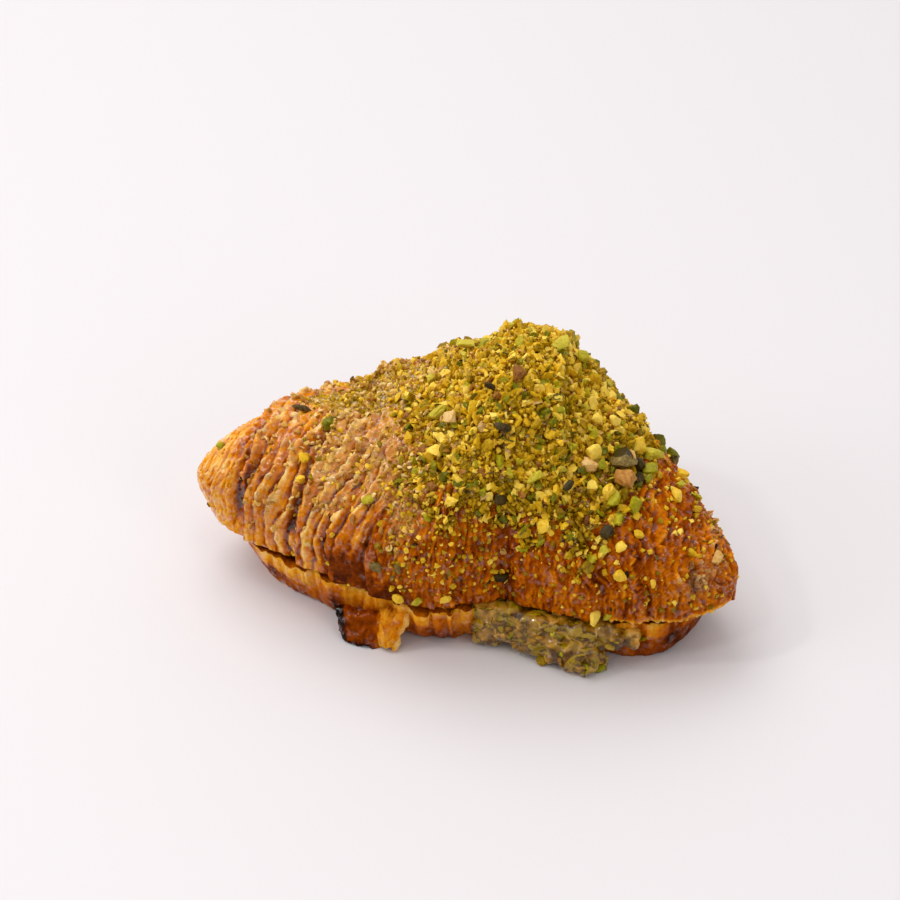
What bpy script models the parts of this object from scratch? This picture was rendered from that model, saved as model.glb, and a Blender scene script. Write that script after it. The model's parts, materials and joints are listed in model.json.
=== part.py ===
"""Pistachio croissant, cut level and filled: the upper half of the crust with chopped pistachios baked onto it,
the cream that runs through the cut and spills at the front, and the lower half with its ruffled rim.

Metres, +Z up. X runs along the croissant from its left tip to its right tip, and -Y is its front.
Run it with blender --background --python part.py, or from Blender's text editor."""

import math
import random

import bmesh
import bpy
from mathutils import Matrix, Vector, noise

# Driving dimensions of the whole pastry.
LENGTH = 0.158
HALF_DEPTH = 0.0440
HEIGHT = 0.0722

# The level cut, and what lies between its two faces.
UPPER_FACE = 0.0155
CREAM_DEPTH = 0.0034
GAP = 0.0003
FLOOR_GAP = 0.0004
LOWER_FACE = UPPER_FACE - CREAM_DEPTH

# Profile of the uncut body at shares of its length: how far back its spine lies, half depth and top height as
# shares of the largest ones, the belly where a section is widest, and the sole, its lowest line before the flat
# base trims it. Both arms bend to the front, the right one more sharply.
#          share  spine    half depth  top    belly   sole
STATIONS = (
    (0.00, -0.0178, 0.15, 0.46, 0.0280, 0.0165),
    (0.13, -0.0122, 0.41, 0.625, 0.0275, 0.0000),
    (0.28, -0.0055, 0.77, 0.70, 0.0280, -0.0040),
    (0.40, -0.0005, 0.955, 0.80, 0.0290, -0.0040),
    (0.52, 0.0025, 0.96, 0.97, 0.0300, -0.0040),
    (0.61, 0.0010, 0.865, 0.975, 0.0300, -0.0040),
    (0.70, -0.0030, 0.71, 0.83, 0.0290, -0.0040),
    (0.79, -0.0073, 0.57, 0.675, 0.0275, -0.0040),
    (0.86, -0.0100, 0.455, 0.565, 0.0260, -0.0035),
    (0.93, -0.0120, 0.31, 0.455, 0.0250, -0.0015),
    (1.00, -0.0135, 0.13, 0.38, 0.0245, 0.0080),
)
NOSE_LENGTH = 0.011
CROWN_POWER = 2.15
KEEL_POWER = 2.8

# Rolled dough: each layer's edge is a lip that stands over the next layer towards the tip. A lip leans towards
# the middle as it climbs from the front to the back of the crown.
#        front x  lean    rise
LEFT_LIPS = ((-0.0185, 0.021, 0.0026), (-0.0310, 0.012, 0.0014), (-0.0425, 0.007, 0.0024), (-0.0600, 0.001, 0.0026))
RIGHT_LIPS = ((0.0430, 0.024, 0.0028), (0.0555, 0.012, 0.0016), (0.0670, 0.005, 0.0016))
LIP_LEAN_TURN = math.radians(115)
LIP_EDGE = 0.0016
LIP_FADE = 0.012
FOLD_X = 0.0180
FOLD_WIDTH = 0.0030
FOLD_DEPTH = 0.0020
FOLD_CLIMB = math.radians(45)
CRUST_ROUGHNESS = 0.0007
CRUST_GRAIN = 0.006

# Mesh density of the crust, and the step at which the spine's turn is read.
SPINE_STEP = 0.01
UPPER_RINGS = 76
UPPER_WALL_SIDES = 24
UPPER_FACE_SIDES = 4
STEEPEST_CUT = math.radians(78)

# The lower half.
SLAB_START = 0.075
SLAB_END = 0.952
SLAB_RINGS = 46
SLAB_WALL_SIDES = 10
SLAB_FACE_SIDES = 5
SLAB_INSET = -0.0010
SLAB_KEEL_POWER = 4.5
SLAB_TIP_LENGTH = 0.012
RUFFLE = 0.0009
RUFFLE_PITCH = 0.0085

# The scorched tongue of crust that hangs from the rim to the table.
TONGUE_X = -0.0195
TONGUE_SIZE = Vector((0.0125, 0.0030, 0.0105))
TONGUE_SPLAY = math.radians(14)
TONGUE_DROP = 0.0012
TONGUE_PROUD = 0.0008
TONGUE_CURL = 0.0016
TONGUE_TAPER = 0.12
TONGUE_RAGGED = 0.0009

# The cream: a layer between the faces, and lumps squeezed out along the front.
CREAM_INSET = 0.0030
CREAM_TIP_INSET = 0.025
CREAM_FIRST_RING = 0.005
CREAM_CLEARANCE = 1.4 * GAP
CREAM_RINGS = 26
CREAM_SIDES = 7
#       x       out from the rim  height  radius
SPILL = (
    (0.010, -0.0006, 0.0100, 0.0044),
    (0.015, -0.0002, 0.0094, 0.0048),
    (0.020, 0.0002, 0.0088, 0.0050),
    (0.026, 0.0008, 0.0078, 0.0054),
    (0.032, 0.0026, 0.0056, 0.0056),
    (0.038, 0.0040, 0.0046, 0.0060),
    (0.044, 0.0042, 0.0046, 0.0060),
    (0.049, 0.0022, 0.0060, 0.0052),
    (0.053, 0.0004, 0.0084, 0.0044),
)
SPILL_LUMPINESS = 0.25
SPILL_FLATNESS = 0.85

# Chopped pistachios.
NUT_SEED = 7
NUT_COUNT = 112
NUT_TRIES = 6000
NUT_SIZE = (0.0026, 0.0052)
NUT_FLATNESS = (0.55, 0.95)
NUT_SPACING = 0.0048
NUT_STANDING = 0.13
NUT_LUMPINESS = 0.5
HEAP_SHARE = 0.25
NUT_CLEARANCE = 0.0012


def clear_scene():
    """Empties the scene."""
    for obj in list(bpy.data.objects):
        bpy.data.objects.remove(obj, do_unlink=True)


def finish(name, colour, roughness):
    """A Principled material."""
    material = bpy.data.materials.new(name)
    material.use_nodes = True
    shader = material.node_tree.nodes["Principled BSDF"]
    shader.inputs["Base Color"].default_value = (*colour, 1.0)
    shader.inputs["Roughness"].default_value = roughness
    shader.inputs["Metallic"].default_value = 0.0
    return material


def smooth_step(t):
    """Eases from 0 to 1 while t goes from 0 to 1."""
    t = min(1.0, max(0.0, t))
    return t * t * (3 - 2 * t)


def station_values(share):
    """Spine, half depth, top, belly and sole at a share of the length, on a smooth curve through the stations."""
    shares = [row[0] for row in STATIONS]
    after = next((i for i, s in enumerate(shares) if s >= share and i > 0), len(shares) - 1)
    before = after - 1
    span = shares[after] - shares[before]
    t = min(1.0, max(0.0, (share - shares[before]) / span))
    values = []
    for column in range(1, 6):
        rise = []
        for i in (before, after):
            low, high = max(i - 1, 0), min(i + 1, len(shares) - 1)
            rise.append((STATIONS[high][column] - STATIONS[low][column]) / (shares[high] - shares[low]) * span)
        start, end = STATIONS[before][column], STATIONS[after][column]
        values.append(
            (2 * t**3 - 3 * t**2 + 1) * start
            + (t**3 - 2 * t**2 + t) * rise[0]
            + (3 * t**2 - 2 * t**3) * end
            + (t**3 - t**2) * rise[1]
        )
    return values


def spine(share):
    """Centre of the section at a share of the length, and the angle that the spine turns there."""
    back, ahead = station_values(share - SPINE_STEP)[0], station_values(share + SPINE_STEP)[0]
    centre = Vector((LENGTH * (share - 0.5), station_values(share)[0], 0))
    return centre, math.atan((ahead - back) / (2 * SPINE_STEP * LENGTH))


def nose(share):
    """Shrinks the sections towards each tip, so that the tips are round."""
    to_tip = min(share, 1 - share) * LENGTH / NOSE_LENGTH
    return 1.0 if to_tip >= 1 else math.sqrt(max(0.0, 1 - (1 - to_tip) ** 2))


def lip_relief(x, angle):
    """How far the rolled layers stand out at a place along the croissant and round its section, less the fold."""
    climb = min(max(angle, 0.0), LIP_LEAN_TURN) / LIP_LEAN_TURN
    relief = 0.0
    for side, lips in ((-1, LEFT_LIPS), (1, RIGHT_LIPS)):
        for front_x, lean, rise in lips:
            inside = side * (front_x - side * lean * climb - x)
            if inside > -LIP_EDGE:
                relief += rise * smooth_step(inside / LIP_EDGE + 1) * math.exp(-max(inside, 0) / LIP_FADE)
    fold = smooth_step(1 - max(angle, 0.0) / FOLD_CLIMB)
    return relief - FOLD_DEPTH * fold * math.exp(-(((x - FOLD_X) / FOLD_WIDTH) ** 2))


def body_point(share, angle, keel_power, grow):
    """A point on the uncut body. The angle runs from 0 at the front, over the crown, to half a turn at the back."""
    centre, turn = spine(share)
    _, depth_share, top_share, belly, sole = station_values(share)
    shrink = nose(share)
    depth = HALF_DEPTH * depth_share * shrink
    up = (HEIGHT * top_share - belly) * shrink
    down = (belly - sole) * shrink
    across, lift = math.cos(angle), math.sin(angle)
    power = CROWN_POWER if lift >= 0 else keel_power
    out = depth * math.copysign(abs(across) ** (2 / power), across)
    rise = (up if lift >= 0 else down) * math.copysign(abs(lift) ** (2 / power), lift)
    relief = lip_relief(centre.x, angle) * shrink * (1.0 if lift >= 0 else 1 + lift)
    relief += CRUST_ROUGHNESS * noise.noise(Vector((centre.x, out, rise)) / CRUST_GRAIN) * shrink
    outward = Vector((across, lift)).normalized() * (relief + grow)
    front = Vector((math.sin(turn), -math.cos(turn), 0))
    return centre + front * (out + outward.x) + Vector((0, 0, belly + rise + outward.y))


def ring_shares(start, end, count):
    """Shares of the length for the rings of a loft, closer together towards its ends."""
    return [start + (end - start) * (0.5 - 0.5 * math.cos(math.pi * i / count)) * 0.5
            + (end - start) * 0.5 * i / count for i in range(1, count)]


def loft(name, rings, first_tip, last_tip):
    """A closed mesh through rings of points, each with the same number, drawn to a tip at both ends."""
    shape = bmesh.new()
    rows = [[shape.verts.new(point) for point in ring] for ring in rings]
    sides = len(rows[0])
    for low, high in zip(rows, rows[1:]):
        for i in range(sides):
            j = (i + 1) % sides
            shape.faces.new((low[i], low[j], high[j]))
            shape.faces.new((low[i], high[j], high[i]))
    for row, tip in ((rows[0], first_tip), (rows[-1], last_tip)):
        end = shape.verts.new(tip)
        for i in range(sides):
            shape.faces.new((row[i], row[(i + 1) % sides], end))
    bmesh.ops.recalc_face_normals(shape, faces=shape.faces)
    if shape.calc_volume(signed=True) < 0:
        bmesh.ops.reverse_faces(shape, faces=shape.faces)
    return mesh_object(name, shape)


def mesh_object(name, shape):
    """Links a new object made from a bmesh."""
    mesh = bpy.data.meshes.new(name)
    shape.to_mesh(mesh)
    shape.free()
    obj = bpy.data.objects.new(name, mesh)
    bpy.context.scene.collection.objects.link(obj)
    return obj


def drop_scraps(mesh):
    """Keeps only the mesh's largest connected body."""
    shape = bmesh.new()
    shape.from_mesh(mesh)
    unseen = set(shape.verts)
    bodies = []
    while unseen:
        start = unseen.pop()
        body, edge = [start], [start]
        while edge:
            vert = edge.pop()
            for link in vert.link_edges:
                other = link.other_vert(vert)
                if other in unseen:
                    unseen.remove(other)
                    body.append(other)
                    edge.append(other)
        bodies.append(body)
    bodies.sort(key=len)
    bmesh.ops.delete(shape, geom=[vert for body in bodies[:-1] for vert in body], context="VERTS")
    shape.to_mesh(mesh)
    shape.free()
    return mesh


def apply_boolean(target, operation, operand):
    """Applies a Boolean of an object or a collection to the target, and removes the operand's objects."""
    step = target.modifiers.new(operation, "BOOLEAN")
    step.operation = operation
    step.solver = "EXACT"
    if isinstance(operand, bpy.types.Collection):
        step.operand_type = "COLLECTION"
        step.collection = operand
        spent = list(operand.objects)
    else:
        step.object = operand
        spent = [operand]
    bpy.context.view_layer.update()
    graph = bpy.context.evaluated_depsgraph_get()
    result = bpy.data.meshes.new_from_object(target.evaluated_get(graph))
    target.modifiers.clear()
    target.data = drop_scraps(result)
    for obj in spent:
        bpy.data.objects.remove(obj, do_unlink=True)


def cut_angle(share, height, keel_power):
    """The angle round the section at which its front wall passes the height of a cut, at most nearly straight down."""
    _, _, _, belly, sole = station_values(share)
    drop = (belly - height) / ((belly - sole) * nose(share))
    return -min(math.asin(min(1.0, max(0.0, drop)) ** (keel_power / 2)), STEEPEST_CUT)


def closed_ring(wall, height, sides):
    """A wall's points, with the first and the last at the height of the cut, and points across the cut face."""
    for point in (wall[0], wall[-1]):
        point.z = height
    return wall + [wall[-1].lerp(wall[0], i / sides) for i in range(1, sides)]


def upper_half(name, grow=0.0):
    """The crust above the cut. Grown, it is a cutter that leaves a gap round the crust."""
    rings = []
    for share in ring_shares(0, 1, UPPER_RINGS):
        start = cut_angle(share, UPPER_FACE, KEEL_POWER)
        angles = [start + (math.pi - 2 * start) * i / UPPER_WALL_SIDES for i in range(UPPER_WALL_SIDES + 1)]
        wall = [body_point(share, angle, KEEL_POWER, grow) for angle in angles]
        height = max(UPPER_FACE - grow, min(wall[0].z, wall[-1].z))
        for point in wall:
            point.z = max(point.z, height)
        rings.append(closed_ring(wall, height, UPPER_FACE_SIDES))
    tips = []
    for share, reach in ((0, -grow), (1, grow)):
        centre, _ = spine(share)
        tips.append(centre + Vector((reach, 0, station_values(share)[3])))
    return loft(name, rings, *tips)


def rim_reach(share, angle, grow):
    """How far the lower half's wall stands from the body's own section: its ruffles, less the inset."""
    x = LENGTH * (share - 0.5)
    ripple = math.sin(2 * math.pi * x / RUFFLE_PITCH + 2.4 * math.sin(x / 0.013))
    return RUFFLE * ripple * (1 + math.sin(min(angle, 0.0))) - SLAB_INSET + grow


def slab_end(share):
    """Narrows the lower half towards its own tips."""
    middle = (SLAB_START + SLAB_END) / 2
    to_tip = (share - SLAB_START if share < middle else SLAB_END - share) * LENGTH / SLAB_TIP_LENGTH
    return 1.0 if to_tip >= 1 else math.sqrt(max(0.0, 1 - (1 - to_tip) ** 2))


def lower_half(name, grow=0.0):
    """The crust below the cut, flat where it stands. Grown, it is a cutter that leaves a gap round the crust."""
    rings = []
    for share in ring_shares(SLAB_START, SLAB_END, SLAB_RINGS):
        centre, _ = spine(share)
        end = slab_end(share)
        start = cut_angle(share, LOWER_FACE, SLAB_KEEL_POWER)
        wall = []
        for i in range(SLAB_WALL_SIDES + 1):
            angle = start - (math.pi + 2 * start) * i / SLAB_WALL_SIDES
            point = body_point(share, angle, SLAB_KEEL_POWER, rim_reach(share, angle, grow))
            point = Vector((centre.x, centre.y, point.z)).lerp(point, end)
            point.z = LOWER_FACE + (min(max(point.z, 0.0), LOWER_FACE) - LOWER_FACE) * end - grow
            wall.append(point)
        rings.append(closed_ring(wall, LOWER_FACE + grow, SLAB_FACE_SIDES))
    tips = [spine(share)[0] + Vector((0, 0, LOWER_FACE)) for share in (SLAB_START, SLAB_END)]
    return loft(name, rings, *tips)


def front_wall(x, height):
    """The point of the lower half's front wall at a place along the croissant, at a height."""
    share = x / LENGTH + 0.5
    for _ in range(4):
        angle = cut_angle(share, LOWER_FACE, SLAB_KEEL_POWER)
        point = body_point(share, angle, SLAB_KEEL_POWER, rim_reach(share, angle, 0.0))
        share += (x - point.x) / LENGTH
    return Vector((x, point.y, height))


def lumpy_ball(name, centre, radii, detail, lumpiness, turn=None):
    """A closed ball of about 20 or 80 faces, stretched, roughened and turned."""
    shape = bmesh.new()
    bmesh.ops.create_icosphere(shape, subdivisions=detail, radius=1.0)
    for vert in shape.verts:
        swell = 1 + lumpiness * noise.noise(vert.co * 1.7 + Vector(centre) * 900)
        stretched = Vector([c * r * swell for c, r in zip(vert.co, radii)])
        vert.co = Vector(centre) + (turn @ stretched if turn else stretched)
        vert.co.z = max(vert.co.z, FLOOR_GAP)
    return mesh_object(name, shape)


def add_tongue(slab):
    """Fuses the scorched tongue to the lower half: a curled, tapering plate from under the rim down to the table."""
    shape = bmesh.new()
    bmesh.ops.create_cube(shape, size=1.0)
    bmesh.ops.subdivide_edges(shape, edges=shape.edges, cuts=2, use_grid_fill=True)
    top = front_wall(TONGUE_X, LOWER_FACE - TONGUE_DROP)
    for vert in shape.verts:
        across, thick, up = vert.co
        drop = 0.5 - up
        hang = drop * TONGUE_SIZE.z
        x = top.x + across * TONGUE_SIZE.x * (1 - TONGUE_TAPER * drop)
        y = top.y + TONGUE_PROUD + thick * TONGUE_SIZE.y - hang * math.sin(TONGUE_SPLAY)
        y -= TONGUE_CURL * drop * math.cos(math.pi * across)
        z = top.z - hang + TONGUE_RAGGED * noise.noise(Vector((across * 3, drop * 3, 0.4)))
        vert.co = Vector((x, y, max(z, 0.0)))
    bmesh.ops.triangulate(shape, faces=shape.faces)
    apply_boolean(slab, "UNION", mesh_object("tongue", shape))


def cream_filling(name):
    """The layer between the two cut faces, with the lumps squeezed out at the front, cut clear of both halves."""
    low, high = LOWER_FACE + CREAM_CLEARANCE, UPPER_FACE - CREAM_CLEARANCE
    rings = []
    start, end = SLAB_START + CREAM_TIP_INSET, SLAB_END - CREAM_TIP_INSET
    for share in ring_shares(start + CREAM_FIRST_RING, end - CREAM_FIRST_RING, CREAM_RINGS):
        ring = []
        for z, first_angle in ((high, 0.0), (low, math.pi)):
            for i in range(CREAM_SIDES + 1):
                angle = first_angle + math.pi * i / CREAM_SIDES
                side = math.copysign(1.0, math.cos(angle))
                edge = body_point(share, 0.0 if side > 0 else math.pi, SLAB_KEEL_POWER, -CREAM_INSET)
                centre, _ = spine(share)
                flat = centre.lerp(Vector((edge.x, edge.y, 0)), abs(math.cos(angle)) * slab_end(share))
                ring.append(Vector((flat.x, flat.y, z)))
        rings.append(ring)
    middle = (low + high) / 2
    tips = [spine(share)[0] + Vector((0, 0, middle)) for share in (start, end)]
    cream = loft(name, rings, *tips)

    lumps = bpy.data.collections.new("lumps")
    bpy.context.scene.collection.children.link(lumps)
    for i, (x, out, height, radius) in enumerate(SPILL):
        centre = front_wall(x, height) - Vector((0, out, 0))
        lump = lumpy_ball(f"lump_{i}", centre, (radius, radius * SPILL_FLATNESS, height), 2, SPILL_LUMPINESS)
        bpy.context.scene.collection.objects.unlink(lump)
        lumps.objects.link(lump)
    apply_boolean(cream, "UNION", lumps)
    bpy.data.collections.remove(lumps)
    return cream


def top_sprinkle(rng):
    """One place for a nut: share of the length and angle round the section. Some fall in a heap on the right arm."""
    if rng.random() < HEAP_SHARE:
        share, angle = rng.gauss(0.78, 0.05), rng.gauss(72, 24)
    else:
        share, angle = rng.gauss(0.53, 0.17), rng.gauss(80, 30)
    return min(0.97, max(0.05, share)), math.radians(min(150, max(12, angle)))


def add_nuts(crust):
    """Fuses the larger pieces of chopped pistachio to the crown, spread by a seeded draw that keeps them apart."""
    rng = random.Random(NUT_SEED)
    nuts = bpy.data.collections.new("nuts")
    bpy.context.scene.collection.children.link(nuts)
    placed = []
    for _ in range(NUT_TRIES):
        if len(placed) == NUT_COUNT:
            break
        share, angle = top_sprinkle(rng)
        size = NUT_SIZE[0] + (NUT_SIZE[1] - NUT_SIZE[0]) * rng.random() ** 2
        spot = body_point(share, angle, KEEL_POWER, size * NUT_STANDING)
        if spot.z < UPPER_FACE + size / 2 + NUT_CLEARANCE:
            continue
        if any((spot - other).length < NUT_SPACING for other in placed):
            continue
        radii = [size / 2, size / 2 * rng.uniform(*NUT_FLATNESS), size / 2 * rng.uniform(*NUT_FLATNESS)]
        turn = Matrix.Rotation(rng.uniform(0, math.tau), 3, Vector([rng.gauss(0, 1) for _ in range(3)]))
        nut = lumpy_ball(f"nut_{len(placed)}", spot, radii, 1, NUT_LUMPINESS, turn)
        bpy.context.scene.collection.objects.unlink(nut)
        nuts.objects.link(nut)
        placed.append(spot)
    apply_boolean(crust, "UNION", nuts)
    bpy.data.collections.remove(nuts)


def stand_on_origin(objects):
    """Moves the pastry so that the middle of its box stands on the origin."""
    corners = [vert.co for obj in objects for vert in obj.data.vertices]
    middle = [(min(c[i] for c in corners) + max(c[i] for c in corners)) / 2 for i in (0, 1)]
    shift = Matrix.Translation((-middle[0], -middle[1], -min(c[2] for c in corners)))
    for obj in objects:
        obj.data.transform(shift)


def main():
    """Builds the three pieces."""
    clear_scene()
    crust = upper_half("upper_crust")
    slab = lower_half("lower_crust")
    add_tongue(slab)
    cream = cream_filling("pistachio_cream")
    apply_boolean(cream, "DIFFERENCE", upper_half("upper_cutter", GAP))
    apply_boolean(cream, "DIFFERENCE", lower_half("lower_cutter", GAP))
    add_nuts(crust)
    stand_on_origin([crust, slab, cream])
    crust.data.materials.clear()
    crust.data.materials.append(finish("baked_crust", (0.52, 0.24, 0.07), 0.4))
    slab.data.materials.clear()
    slab.data.materials.append(finish("golden_rim", (0.60, 0.31, 0.10), 0.5))
    cream.data.materials.clear()
    cream.data.materials.append(finish("pistachio_cream", (0.42, 0.37, 0.16), 0.35))
    for obj in (crust, slab, cream):
        obj.data.shade_smooth()
        obj.data.set_sharp_from_angle(angle=math.radians(35))


main()
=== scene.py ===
"""Looks of the split pistachio croissant: flaky glazed crust, chopped nuts, cream and a ruffled lower half.

Metres, +Z up. X runs along the croissant from its left tip to its right tip, and -Y is its front.
"""

import itertools
import json
import logging
import math
from dataclasses import dataclass, field
from enum import Enum
from typing import NamedTuple

import bmesh
import bpy
import numpy as np
from mathutils import Matrix, Vector

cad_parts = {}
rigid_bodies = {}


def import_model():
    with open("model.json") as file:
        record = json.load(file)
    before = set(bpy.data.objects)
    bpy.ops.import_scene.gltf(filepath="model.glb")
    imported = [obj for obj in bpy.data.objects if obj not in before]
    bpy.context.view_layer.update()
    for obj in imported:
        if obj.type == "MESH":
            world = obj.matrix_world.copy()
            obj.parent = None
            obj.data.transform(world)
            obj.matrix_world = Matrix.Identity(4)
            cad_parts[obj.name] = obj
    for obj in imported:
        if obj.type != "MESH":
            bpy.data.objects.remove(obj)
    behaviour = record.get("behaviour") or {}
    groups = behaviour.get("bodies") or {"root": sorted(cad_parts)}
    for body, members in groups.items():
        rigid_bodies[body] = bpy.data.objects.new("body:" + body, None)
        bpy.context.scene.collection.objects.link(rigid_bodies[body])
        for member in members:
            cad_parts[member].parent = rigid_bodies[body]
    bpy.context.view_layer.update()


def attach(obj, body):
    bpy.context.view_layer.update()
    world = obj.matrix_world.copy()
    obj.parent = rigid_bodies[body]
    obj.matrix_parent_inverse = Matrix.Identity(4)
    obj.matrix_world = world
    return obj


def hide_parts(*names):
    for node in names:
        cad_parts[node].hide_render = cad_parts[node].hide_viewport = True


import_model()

log = logging.getLogger("croissant")
Array = np.ndarray
Socket = bpy.types.NodeSocket
MM = 0.001
FAR_AWAY = 1e6
LEAST_LENGTH = 1e-12
TABLE_GAP = 0.05 * MM
HASH_PRIMES = (374761393, 668265263, 974634777)
HASH_SEED_PRIME = 362437
HASH_STIR = 1274126177
HASH_MASK = 0xFFFFFFFF
HASH_RANGE = 0x1000000


# Small tools ------------------------------------------------------------------


def srgb(red: int, green: int, blue: int) -> tuple[float, float, float, float]:
    """Turns a screen colour into the linear colour that a shader takes.

    Args:
        red: Red from 0 to 255.
        green: Green from 0 to 255.
        blue: Blue from 0 to 255.

    Returns:
        Red, green, blue and full cover, each from 0 to 1.
    """
    def linear(value: float) -> float:
        """One channel, from 0 to 1."""
        return value / 12.92 if value <= 0.04045 else ((value + 0.055) / 1.055) ** 2.4

    return (linear(red / 255), linear(green / 255), linear(blue / 255), 1.0)


def ease(t: Array) -> Array:
    """Goes smoothly from 0 to 1 while t goes from 0 to 1."""
    t = np.clip(t, 0.0, 1.0)
    return t * t * (3 - 2 * t)


def lattice(cell: Array, seed: int) -> Array:
    """A repeatable random value from 0 to 1 for each whole-numbered cell.

    Args:
        cell: Whole coordinates, the last axis of length 3.
        seed: Picks one of many unlike fields.

    Returns:
        One value for each cell.
    """
    mixed = sum(cell[..., axis] * prime for axis, prime in enumerate(HASH_PRIMES))
    mixed = (mixed + seed * HASH_SEED_PRIME) & HASH_MASK
    mixed = ((mixed ^ (mixed >> 13)) * HASH_STIR) & HASH_MASK
    mixed ^= mixed >> 16
    return (mixed & (HASH_RANGE - 1)) / float(HASH_RANGE)


def waves(points: Array, seed: int, octaves: int = 1) -> Array:
    """Smooth noise, about -1 to 1.

    Args:
        points: Places in units of the noise's own grain, the last axis of length 3.
        seed: Picks one of many unlike fields.
        octaves: How many finer layers are added, each half as strong.

    Returns:
        One value for each place.
    """
    total = np.zeros(points.shape[:-1])
    for octave in range(octaves):
        scaled = points * 2.03**octave + 17.3 * octave
        base = np.floor(scaled).astype(np.int64)
        part = scaled - base
        blend = part**3 * (part * (part * 6 - 15) + 10)
        value = np.zeros(points.shape[:-1])
        for corner in itertools.product((0, 1), repeat=3):
            weight = np.prod(np.where(np.array(corner), blend, 1 - blend), axis=-1)
            for axis in range(3):
                lean = lattice(base + corner, seed + 101 * axis + 7 * octave) * 2 - 1
                value += weight * lean * (part[..., axis] - corner[axis])
        total += 1.6 * value * 0.5**octave
    return total


def domes(points: Array, seed: int, chance: Array | float, low: float = 0.3, high: float = 0.62) -> Array:
    """Scattered round lumps, one at most in each unit cell.

    Args:
        points: Places in units of the lumps' pitch, the last axis of length 3.
        seed: Picks one of many unlike fields.
        chance: Share of the cells that hold a lump.
        low: Smallest radius.
        high: Largest radius.

    Returns:
        Height from 0, between the lumps, to 1 on top of the largest.
    """
    base = np.floor(points).astype(np.int64)
    height = np.zeros(points.shape[:-1])
    for step in itertools.product((-1, 0, 1), repeat=3):
        cell = base + step
        centre = cell + np.stack([0.2 + 0.6 * lattice(cell, seed + k) for k in (1, 2, 3)], axis=-1)
        radius = low + (high - low) * lattice(cell, seed + 4)
        away = np.linalg.norm(points - centre, axis=-1)
        dome = np.sqrt(np.clip(1 - (away / radius) ** 2, 0, 1)) * radius / high
        height = np.maximum(height, np.where(lattice(cell, seed) < chance, dome, 0.0))
    return height


def new_object(name: str, vertices: Array, faces: list) -> bpy.types.Object:
    """Links a new mesh object, shaded smooth.

    Args:
        name: The object's name.
        vertices: Rows of x, y and z.
        faces: Tuples of vertex numbers.

    Returns:
        The object.
    """
    mesh = bpy.data.meshes.new(name)
    mesh.from_pydata([tuple(row) for row in vertices], [], faces)
    mesh.update()
    mesh.shade_smooth()
    made = bpy.data.objects.new(name, mesh)
    bpy.context.scene.collection.objects.link(made)
    return made


def store(made: bpy.types.Object, name: str, values: Array) -> None:
    """Keeps one number for each vertex as a named attribute.

    Args:
        made: The mesh object.
        name: The attribute's name.
        values: One number for each vertex, in the order of the vertices.
    """
    attribute = made.data.attributes.new(name, "FLOAT", "POINT")
    attribute.data.foreach_set("value", np.asarray(values, np.float32).ravel())


def grid_normals(points: Array) -> Array:
    """Unit normals of a grid of points.

    Args:
        points: Axis 0 along the piece, axis 1 from its front over its top, and x, y and z on the last.

    Returns:
        The normals, which point outward.
    """
    along = np.gradient(points, axis=0)
    around = np.gradient(points, axis=1)
    normal = np.cross(along, around)
    return normal / np.maximum(np.linalg.norm(normal, axis=-1, keepdims=True), LEAST_LENGTH)


def tube_faces(rings: int, sides: int) -> list:
    """Faces of a closed tube of rings that is drawn to one vertex at each end.

    Args:
        rings: How many rings.
        sides: Vertices of a ring.

    Returns:
        Tuples of vertex numbers. The two end vertices come after the rings' own.
    """
    faces = []
    for i in range(rings - 1):
        for j in range(sides):
            k = (j + 1) % sides
            faces.append((i * sides + j, (i + 1) * sides + j, (i + 1) * sides + k, i * sides + k))
    first, last = rings * sides, rings * sides + 1
    for j in range(sides):
        k = (j + 1) % sides
        faces.append((j, k, first))
        faces.append(((rings - 1) * sides + k, (rings - 1) * sides + j, last))
    return faces


def vectors_of(items: bpy.types.bpy_prop_collection, name: str) -> Array:
    """Reads a vector from each vertex of a mesh.

    Args:
        items: The mesh's vertices, or its vertex normals.
        name: The vector's name there.

    Returns:
        Rows of x, y and z.
    """
    rows = np.zeros(len(items) * 3)
    items.foreach_get(name, rows)
    return rows.reshape(-1, 3)


def plain_mesh(made: bpy.types.Object, name: str) -> bpy.types.Object:
    """Replaces an object by a plain mesh of what its modifiers make.

    Args:
        made: The object with live modifiers.
        name: The plain object's name.

    Returns:
        The plain object.
    """
    bpy.context.view_layer.update()
    graph = bpy.context.evaluated_depsgraph_get()
    mesh = bpy.data.meshes.new_from_object(made.evaluated_get(graph))
    made.modifiers.clear()
    mesh.name = name
    plain = bpy.data.objects.new(name, mesh)
    bpy.context.scene.collection.objects.link(plain)
    return plain


# Finishes ---------------------------------------------------------------------


def stops(*rows: tuple) -> tuple:
    """Turns rows of a place from 0 to 1 and a screen colour into the stops of a colour ramp."""
    return tuple((place, srgb(red, green, blue)) for place, red, green, blue in rows)


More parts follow.
